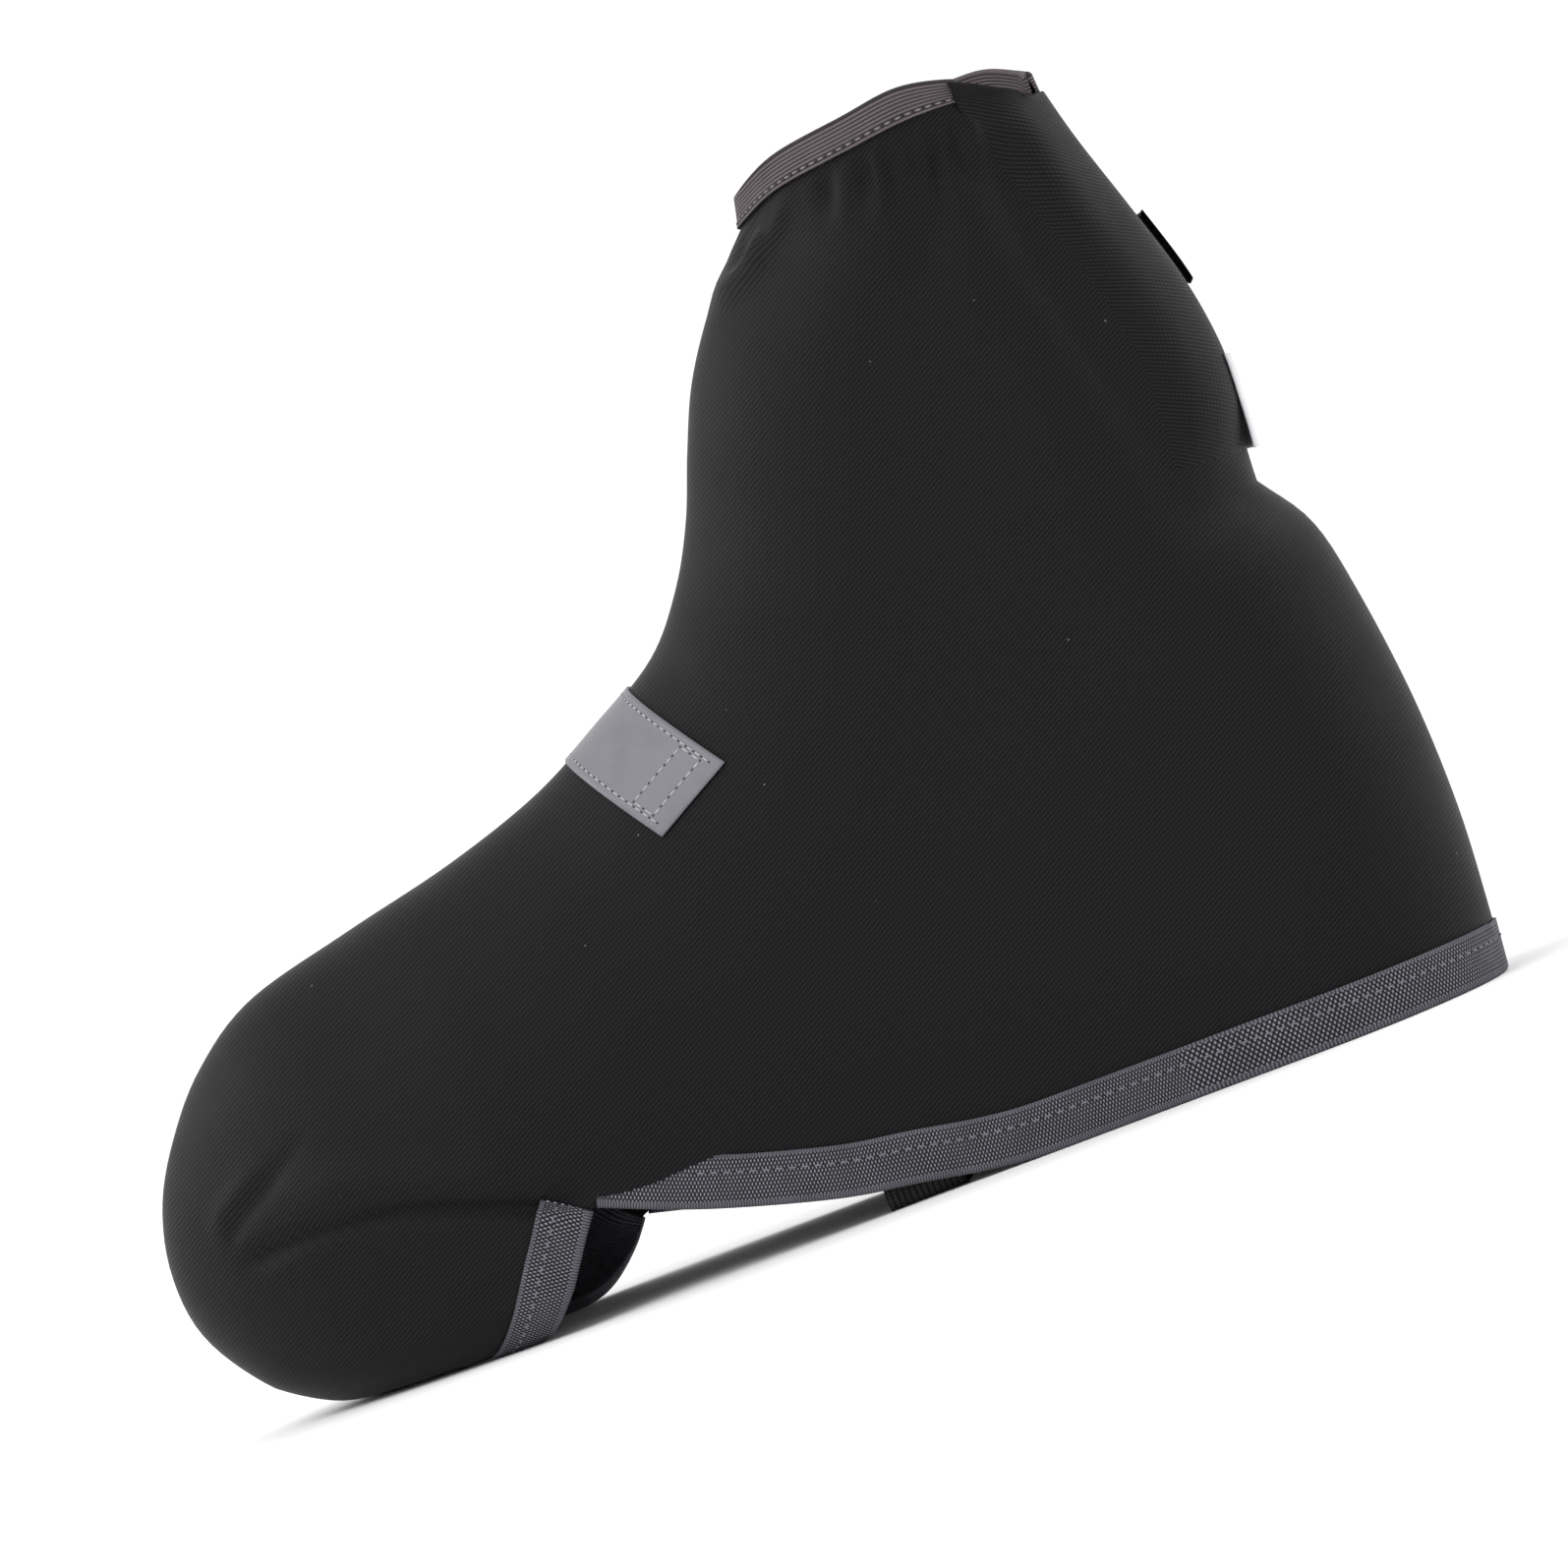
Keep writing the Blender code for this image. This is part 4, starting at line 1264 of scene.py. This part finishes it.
@dataclass
class EdgeTape:
    """Woven tape folded over a lower edge, from the near side round to the far side."""

    skin: Skin
    tape: bpy.types.Material
    name: str
    node: str
    first: int
    last: int
    steps: int = 150
    width: float = BINDING_WIDTH
    taper: float = 0.0
    corner_width: float = 1.2 * MM

    def rings(self) -> list[tuple[float, float, float]]:
        """The tape's cut: (distance up from the edge, offset outwards, reach past the edge).

        Returns:
            The places of the cut's middle line, from the outer leaf to the inner one.
        """
        out, into = CLEARANCE + TAPE / 2, -WALL - CLEARANCE - TAPE / 2
        leaf = np.linspace(self.width, 0.0, 9)
        bend = [math.radians(a) for a in (30, 60, 90, 120, 150)]
        middle, half = (out + into) / 2, (out - into) / 2
        turn = [(0.0, middle + half * math.cos(a), (EDGE_LIFT - TAPE / 2) * math.sin(a)) for a in bend]
        return [(d, out, 0.0) for d in leaf] + turn + [(d, into, 0.0) for d in leaf[::-1]]

    def shown(self, along: np.ndarray) -> np.ndarray:
        """Width of the tape that the panel leaves uncovered.

        Args:
            along: shares from the near end to the far end.

        Returns:
            Widths in metres.
        """
        if not self.taper:
            return np.full(len(along), 2 * self.width)
        from_end = (0.5 - np.abs(along - 0.5)) * self.path_length()
        return self.corner_width + (self.width - self.corner_width + MM) * eased(from_end, 0.0, self.taper)

    def place(self, along: np.ndarray, around: np.ndarray) -> tuple[np.ndarray, np.ndarray]:
        """Where the tape lies.

        Args:
            along: shares from the near end to the far end.
            around: shares across the cut.

        Returns:
            Places, and flat coordinates in millimetres.
        """
        rings = np.array(self.rings())
        cut = np.stack([np.interp(around * (len(rings) - 1), np.arange(len(rings)), rings[:, k]) for k in range(3)], -1)
        side, station = self.station(along)
        edge = np.full(len(along), self.skin.rows - 1.0)
        row = edge - cut[:, 0] / self.width * EDGE_ROWS
        places, normals = self.skin.at(side, station, row)
        rim, _ = self.skin.at(side, station, edge)
        inner, _ = self.skin.at(side, station, edge - 1)
        past = rim - inner
        past /= np.maximum(np.linalg.norm(past, axis=1), 1e-9)[:, None]
        shown = self.shown(along)
        tucked = np.where(cut[:, 1] > 0, np.clip((cut[:, 0] - shown) / (0.6 * MM), 0.0, 1.0), 0.0)
        offset = cut[:, 1] - tucked * (CLEARANCE + TAPE + 0.3 * MM)
        places = places + normals * offset[:, None] + past * cut[:, 2:3]
        places[:, 2] = np.maximum(places[:, 2], TAPE / 2)
        length = self.path_length()
        spread = np.where(cut[:, 1] > -WALL / 2, cut[:, 0], 2 * self.width - cut[:, 0])
        return places, np.column_stack([along * length / MM, spread / MM])

    def station(self, along: np.ndarray) -> tuple[np.ndarray, np.ndarray]:
        """Side and station at a share of the tape.

        Args:
            along: shares from the near end to the far end.

        Returns:
            Sides as -1 and 1, and station numbers.
        """
        side = np.where(along < 0.5, -1.0, 1.0)
        from_end = np.abs(along - 0.5) * 2
        return side, self.last + (self.first - self.last) * from_end

    def path_length(self) -> float:
        """Length of the tape.

        Returns:
            Metres from end to end.
        """
        along = np.linspace(0.0, 1.0, 200)
        side, station = self.station(along)
        rim, _ = self.skin.at(side, station, np.full(200, self.skin.rows - 1.0))
        return float(np.linalg.norm(np.diff(rim, axis=0), axis=1).sum())

    def build(self) -> bpy.types.Object:
        """Makes the folded tape.

        Returns:
            The piece.
        """
        mesh = placed_grid(self.steps * 2, len(self.rings()) * 2, self.place)
        bmesh.ops.recalc_face_normals(mesh, faces=mesh.faces)
        piece = finished(self.name, mesh, self.tape)
        thicken(piece, TAPE, 0.0)
        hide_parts(self.node)
        return piece

    def stitch(self, thread: ThreadAndHoleShade, hole_shade: ThreadAndHoleShade, depth: float) -> None:
        """Sews the tape along its upper edge.

        Args:
            thread: the thread's finish.
            hole_shade: the finish that paints shade into each stitch hole.
            depth: distance from the edge.
        """
        along = np.linspace(0.004, 0.996, 400)
        kept = self.shown(along) > depth + MM
        along = np.linspace(along[kept][0], along[kept][-1], 400)
        side, station = self.station(along)
        row = np.full(400, self.skin.rows - 1 - depth / self.width * EDGE_ROWS)
        places, normals = self.skin.at(side, station, row)
        surface = places + normals * (CLEARANCE + TAPE + 0.05 * MM)
        surface[:, 2] = np.maximum(surface[:, 2], 0.25 * MM)
        Stitches().sew(f"{self.name}_stitch", [(surface, normals)], thread, hole_shade)


@dataclass
class CollarElastic:
    """Ribbed elastic folded over the collar, open at the near closure."""

    skin: Skin
    elastic: bpy.types.Material
    near_end: float = 17.0 * MM
    steps: int = 120

    def columns(self, along: np.ndarray) -> tuple[np.ndarray, np.ndarray]:
        """Side and row at a share of the elastic.

        Args:
            along: shares from the near end round the front to the far back.

        Returns:
            Sides as -1 and 1, and row numbers.
        """
        near = self.skin.rib_row(np.zeros(1), np.full(1, -self.near_end))[0]
        far = float(RIB_ROWS - 1)
        at = -near + along * (near + far)
        return np.where(at < 0, -1.0, 1.0), np.abs(at)

    def place(self, along: np.ndarray, around: np.ndarray) -> tuple[np.ndarray, np.ndarray]:
        """Where the elastic lies.

        Args:
            along: shares from the near end to the far end.
            around: shares across the cut, from outside to inside.

        Returns:
            Places, and flat coordinates in millimetres.
        """
        side, row = self.columns(along)
        out, into = CLEARANCE + TAPE / 2, -WALL - CLEARANCE - TAPE / 2
        depth = np.interp(around, (0.0, 0.42, 0.58, 1.0), (1.0, 0.0, 0.0, 1.0))
        bend = np.clip((around - 0.42) / 0.16, 0.0, 1.0) * math.pi
        pressed = 0.75 * eased(along, 0.985, 1.0) * (1 - depth)
        offset = (out + into) / 2 + (out - into) / 2 * np.cos(bend) * (1 - pressed)
        places, normals = self.skin.at(side, depth * (BAND_STATIONS - 1), row)
        rim, _ = self.skin.at(side, np.zeros(len(row)), row)
        share = (rim[:, 0] - self.skin.flat[0, 0, 0]) / (self.skin.flat[0, RIB_ROWS - 1, 0] - self.skin.flat[0, 0, 0])
        rise = collar_value(np.where(side < 0, 0.0, share), "rise") - TAPE / 2
        roll = 0.5 * (out - into)
        lift = np.where(depth > 0, (1 - depth) * (rise - roll), rise - roll + roll * np.sin(bend))
        places = places + normals * offset[:, None]
        places[:, 2] += np.maximum(lift, 0.0)
        spread = np.where(around < 0.5, 1 - depth, 1 + (1 - depth)) * ELASTIC_WIDTH
        return places, np.column_stack([along * self.length() / MM, spread / MM])

    def length(self) -> float:
        """Length of the elastic.

        Returns:
            Metres from end to end.
        """
        side, row = self.columns(np.linspace(0.0, 1.0, 200))
        rim, _ = self.skin.at(side, np.zeros(200), row)
        return float(np.linalg.norm(np.diff(rim, axis=0), axis=1).sum())

    def build(self) -> bpy.types.Object:
        """Makes the folded elastic.

        Returns:
            The piece.
        """
        mesh = placed_grid(self.steps * 2, 48, self.place)
        bmesh.ops.recalc_face_normals(mesh, faces=mesh.faces)
        piece = finished("collar_elastic", mesh, self.elastic)
        thicken(piece, TAPE, 0.0)
        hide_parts("collar_binding")
        return piece

    def stitch(self, thread: ThreadAndHoleShade, hole_shade: ThreadAndHoleShade) -> None:
        """Sews the elastic along its lower edge.

        Args:
            thread: the thread's finish.
            hole_shade: the finish that paints shade into each stitch hole.
        """
        along = np.linspace(0.01, 0.99, 300)
        side, row = self.columns(along)
        places, normals = self.skin.at(side, np.full(300, (BAND_STATIONS - 1) * 0.82), row)
        surface = places + normals * (CLEARANCE + TAPE + 0.05 * MM)
        Stitches(pitch=2.75 * MM, share=0.52, hole=0.55 * MM).sew("collar_stitch", [(surface, normals)], thread, hole_shade)


@dataclass
class Patch:
    """A flat piece laid on the cover across a seam."""

    skin: Skin
    finish: bpy.types.Material
    name: str
    node: str
    slot: str
    stations: tuple[float, float]
    near: float
    far: float
    from_back: bool
    inner: float
    thickness: float
    grid: tuple[int, int] = (24, 96)
    near_sink: float = 0.0
    soft_share: float = 0.35

    def spot(self, down: np.ndarray, across: np.ndarray) -> tuple[np.ndarray, np.ndarray, np.ndarray]:
        """The surface under the patch.

        Args:
            down: shares from its upper to its lower edge.
            across: signed distances from the seam, negative on the near side.

        Returns:
            Places, normals, and the share by which the near edge is sunk.
        """
        side = np.where(across < 0, -1.0, 1.0)
        station = self.stations[0] + down * (self.stations[1] - self.stations[0])
        reach = np.abs(across)
        row = self.skin.rib_row(station, -np.maximum(reach, 1e-9) if self.from_back else reach)
        places, normals = self.skin.at(side, station, row)
        edge = 1 - eased(across, -self.near, -self.near * self.soft_share)
        foot = eased(down, 0.80, 0.97) * (1 - eased(across, 0.0, 10 * MM))
        sunk = np.maximum(edge * eased(down, 0.02, 0.14), foot)
        return places, normals, sunk

    def place(self, down: np.ndarray, share: np.ndarray) -> tuple[np.ndarray, np.ndarray]:
        """Where the patch lies.

        Args:
            down: shares from its upper to its lower edge.
            share: shares from its near end to its far end.

        Returns:
            Places, and flat coordinates in millimetres.
        """
        across = -self.near + share * (self.near + self.far)
        places, normals, sunk = self.spot(down, across)
        offset = self.inner + self.thickness / 2 - sunk * self.near_sink
        width = self.width()
        return places + normals * offset[:, None], np.column_stack([across / MM, down * width / MM])

    def width(self) -> float:
        """Width of the patch along the seam.

        Returns:
            Metres from its upper to its lower edge.
        """
        down = np.linspace(0.0, 1.0, 40)
        places, _, _ = self.spot(down, np.full(40, (self.far - self.near) / 2))
        return float(np.linalg.norm(np.diff(places, axis=0), axis=1).sum())

    def build(self) -> bpy.types.Object:
        """Makes the patch.

        Returns:
            The piece.
        """
        mesh = placed_grid(self.grid[0], self.grid[1], self.place)
        bmesh.ops.recalc_face_normals(mesh, faces=mesh.faces)
        piece = finished(self.name, mesh, self.finish)
        thicken(piece, self.thickness, 0.0)
        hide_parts(self.node)
        return piece

    def stitch(self, routes: list[list[tuple[float, float]]], stitches: Stitches, thread: ThreadAndHoleShade, hole_shade: ThreadAndHoleShade) -> None:
        """Sews the patch along routes.

        Args:
            routes: corners of each row of stitches, as (share down, signed metres across).
            stitches: their size.
            thread: the thread's finish.
            hole_shade: the finish that paints shade into each stitch hole.
        """
        paths = []
        for route in routes:
            for (d0, a0), (d1, a1) in zip(route, route[1:]):
                t = np.linspace(0.0, 1.0, 120)
                places, normals, _ = self.spot(d0 + t * (d1 - d0), a0 + t * (a1 - a0))
                surface = places + normals * (self.inner + self.thickness + 0.04 * MM)
                paths.append((surface, normals))
        stitches.sew(f"{self.name}_stitch", paths, thread, hole_shade)


@dataclass
class UnderfootStrap:
    """Elastic strap from hem to hem, laid on the floor under the foot."""

    pattern: Pattern
    elastic: bpy.types.Material
    width: float = 0.020
    thickness: float = 0.0012
    along: float = 0.450
    rise: float = 0.018
    bend: float = 0.004

    def route(self, x: float) -> np.ndarray:
        """Middle line of the strap in a cut across the foot.

        Args:
            x: where the cut is.

        Returns:
            (y, z) from the near top to the far top.
        """
        inset = WALL + 2 * CLEARANCE + TAPE + CLEARANCE + self.thickness / 2
        heights = np.linspace(EDGE_LIFT + self.rise, self.bend, 6)
        points = np.column_stack([np.full(6, x), heights])
        down = np.column_stack([self.pattern.half_width(points) - inset, heights])
        radius = self.bend - self.thickness / 2
        centre = down[-1, 0] - radius
        turn = np.radians(np.arange(15, 91, 15))
        bend = np.column_stack([centre + radius * np.cos(turn), self.bend - radius * np.sin(turn)])
        floor = np.column_stack([np.linspace(centre * 0.9, 0.0, 8), np.full(8, self.thickness / 2)])
        half = np.vstack([down, bend, floor])
        return np.vstack([half * (-1, 1), half[-2::-1]])

    def place(self, along: np.ndarray, across: np.ndarray) -> tuple[np.ndarray, np.ndarray]:
        """Where the strap lies.

        Args:
            along: shares from its near top to its far top.
            across: shares of its width.

        Returns:
            Places, and flat coordinates in millimetres.
        """
        middle = place_along(self.along)
        places = np.zeros((len(along), 3))
        length = 0.0
        for share in np.unique(np.round(across, 5)):
            x = middle + (share - 0.5) * self.width
            line = Line(self.route(x))
            chosen = np.abs(across - share) < 1e-4
            spots = line.at(along[chosen])
            places[chosen] = np.column_stack([np.full(len(spots), x), spots])
            length = line.length
        return places, np.column_stack([along * length / MM, across * self.width / MM])

    def build(self) -> bpy.types.Object:
        """Makes the strap.

        Returns:
            The piece.
        """
        mesh = placed_grid(140, 14, self.place)
        bmesh.ops.recalc_face_normals(mesh, faces=mesh.faces)
        piece = finished("strap_elastic", mesh, self.elastic)
        thicken(piece, self.thickness, 0.0)
        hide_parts("underfoot_strap")
        return piece


@dataclass(frozen=True)
class Studio:
    """Pale floor that curves up behind the cover, soft lights and the photograph's camera."""

    roll: float = 21.0
    azimuth: float = 5.0
    elevation: float = 1.0
    frame_width: float = 0.392
    centre: tuple[float, float, float] = (0.0168, 0.0, 0.1072)
    lens: float = 200.0
    sensor: float = 36.0
    back_wall: float = 3.7
    sweep: float = 1.3
    half_floor: float = 6.0

    def floor(self) -> None:
        """Makes the floor."""
        mesh = bmesh.new()
        grid = bmesh.ops.create_grid(mesh, x_segments=8, y_segments=96, size=self.half_floor)["verts"]
        for vertex in grid:
            past = vertex.co.y - self.back_wall + self.sweep
            turn = min(max(past / self.sweep, 0.0), math.pi / 2)
            if past > 0:
                straight = max(past - self.sweep * math.pi / 2, 0.0)
                vertex.co.y = self.back_wall - self.sweep + self.sweep * math.sin(turn)
                vertex.co.z = self.sweep * (1 - math.cos(turn)) + straight
        g = Graph("studio_paper")
        place = g.add("ShaderNodeTexCoord").outputs["Object"]
        grain = g.noise(place, 0.004)
        g.put(g.shader.inputs["Base Color"], g.blend(grain, (0.95, 0.95, 0.95), (0.97, 0.97, 0.97)))
        g.shader.inputs["Roughness"].default_value = 0.95
        g.shader.inputs["Specular IOR Level"].default_value = 0.1
        data = bpy.data.meshes.new("floor")
        mesh.to_mesh(data)
        mesh.free()
        data.shade_smooth()
        data.materials.append(g.material)
        floor = bpy.data.objects.new("floor", data)
        bpy.context.scene.collection.objects.link(floor)

    def light(self, name: str, place: tuple[float, float, float], size: float, power: float) -> None:
        """Adds a soft lamp that looks at the cover.

        Args:
            name: the lamp's name.
            place: where it hangs.
            size: its side in metres.
            power: watts.
        """
        data = bpy.data.lights.new(name, "AREA")
        data.energy = power
        data.size = size
        lamp = bpy.data.objects.new(name, data)
        lamp.location = place
        lamp.rotation_mode = "QUATERNION"
        lamp.rotation_quaternion = (Vector(place) - Vector(self.centre)).to_track_quat("Z", "Y")
        bpy.context.scene.collection.objects.link(lamp)

    def camera(self) -> None:
        """Places the camera."""
        data = bpy.data.cameras.new("camera")
        data.lens, data.sensor_width = self.lens, self.sensor
        data.clip_start, data.clip_end = 0.05, 50.0
        distance = self.frame_width * self.lens / self.sensor
        a, e = math.radians(self.azimuth), math.radians(self.elevation)
        back = Vector((math.sin(a) * math.cos(e), -math.cos(a) * math.cos(e), math.sin(e)))
        camera = bpy.data.objects.new("camera", data)
        camera.rotation_mode = "QUATERNION"
        roll = Quaternion((0.0, 0.0, 1.0), math.radians(-self.roll))
        camera.rotation_quaternion = (-back).to_track_quat("-Z", "Y") @ roll
        camera.location = Vector(self.centre) + back * distance
        bpy.context.scene.collection.objects.link(camera)
        bpy.context.scene.camera = camera

    def build(self) -> None:
        """Makes the whole studio."""
        scene = bpy.context.scene
        scene.view_settings.view_transform = "Standard"
        world = bpy.data.worlds.new("studio")
        world.use_nodes = True
        world.node_tree.nodes["Background"].inputs["Color"].default_value = (1.0, 1.0, 1.0, 1.0)
        world.node_tree.nodes["Background"].inputs["Strength"].default_value = 1.0
        scene.world = world
        self.floor()
        self.light("key", (-1.0, -1.4, 1.9), 1.4, 20.0)
        self.light("front_rim", (-1.9, 0.3, 1.2), 1.0, 15.0)
        self.light("back_rim", (1.7, 0.6, 1.2), 1.0, 12.0)
        self.camera()


def main() -> None:
    """Builds every piece and the studio."""
    logging.basicConfig(level=logging.INFO, format="%(name)s %(message)s")
    skin = Skin(Pattern())
    cloth = Twill().material()
    tape = Webbing().material()
    collar = Elastic("collar_elastic", (0.022, 0.019, 0.020), (0.165, 0.140, 0.148)).material()
    strap = Elastic("strap_elastic", (0.004, 0.004, 0.004), (0.024, 0.026, 0.024), 1.5, 0.9).material()
    film = Film("reflective_film", (0.125, 0.125, 0.141), (0.162, 0.162, 0.182)).material()
    rear_film = Film("rear_reflective_film", (0.52, 0.52, 0.54), (0.66, 0.66, 0.68)).material()
    hooks = Hooks().material()
    grey = ThreadAndHoleShade("grey_thread", (0.10, 0.10, 0.12), (0.19, 0.19, 0.22))
    pale = ThreadAndHoleShade("pale_thread", (0.30, 0.30, 0.32), (0.46, 0.46, 0.48))
    warm = ThreadAndHoleShade("warm_thread", (0.13, 0.115, 0.12), (0.24, 0.21, 0.22))
    black = ThreadAndHoleShade("black_thread", (0.004, 0.004, 0.004), (0.014, 0.014, 0.014))
    # painted shade: a near-black finish standing in for the shade inside each stitch hole
    hole_shade = ThreadAndHoleShade("stitch_hole_shade", (0.002, 0.002, 0.002), (0.006, 0.006, 0.006))

    Upper(skin, cloth).build()
    heel, corner = skin.index[5] + 1, skin.index[8]
    hem = EdgeTape(skin, tape, "hem_tape", "hem_binding", corner, heel, taper=45 * MM)
    hem.build()
    hem.stitch(grey, hole_shade, 8.0 * MM)
    toe = EdgeTape(skin, tape, "toe_tape", "toe_binding", corner + 1, skin.columns - 1, steps=60)
    toe.build()
    toe.stitch(grey, hole_shade, 8.0 * MM)
    elastic = CollarElastic(skin, collar)
    elastic.build()
    elastic.stitch(warm, hole_shade)

    strip = Patch(
        skin, film, "instep_reflective", "instep_strip", "reflective",
        (skin.index[6], skin.index[7]), 32 * MM, 32 * MM, False, CLEARANCE, 0.5 * MM,
    )
    strip.build()
    rows = [[(0.09, -29 * MM), (0.09, 29 * MM)], [(0.91, -29 * MM), (0.91, 29 * MM)]]
    boxes = [
        [(0.13, s * 21 * MM), (0.13, s * 27 * MM), (0.87, s * 27 * MM), (0.87, s * 21 * MM), (0.13, s * 21 * MM)]
        for s in (-1, 1)
    ]
    strip.stitch(rows + boxes, Stitches(pitch=2.6 * MM, radius=0.2 * MM, hole=0.34 * MM), pale, hole_shade)

    base = 2 * CLEARANCE + TAPE
    flap = Patch(
        skin, cloth, "closure_flap_fabric", "closure_flap", "shell_fabric",
        (0, skin.index[4]), 19 * MM, 38 * MM, True, base, WALL, (60, 70), base + WALL + 0.25 * MM,
    )
    flap.build()
    flap.stitch([[(0.03, 36 * MM), (0.98, 36 * MM)]], Stitches(), black, hole_shade)
    outer = base + WALL + CLEARANCE
    tab = Patch(
        skin, hooks, "closure_hook_tab", "closure_tab", "hook_tape",
        (skin.index[0], skin.index[1]), 0.0, 38 * MM, True, outer, 1.8 * MM,
    )
    tab.build()
    rear = Patch(
        skin, rear_film, "rear_reflective", "rear_reflective_strip", "rear_reflective",
        (skin.index[2], skin.index[3]), 0.8 * MM, 38 * MM, True, outer, 0.5 * MM,
    )
    rear.build()
    UnderfootStrap(skin.pattern, strap).build()
    Studio().build()
    skin.mesh.free()


if __name__ == "__main__":
    main()
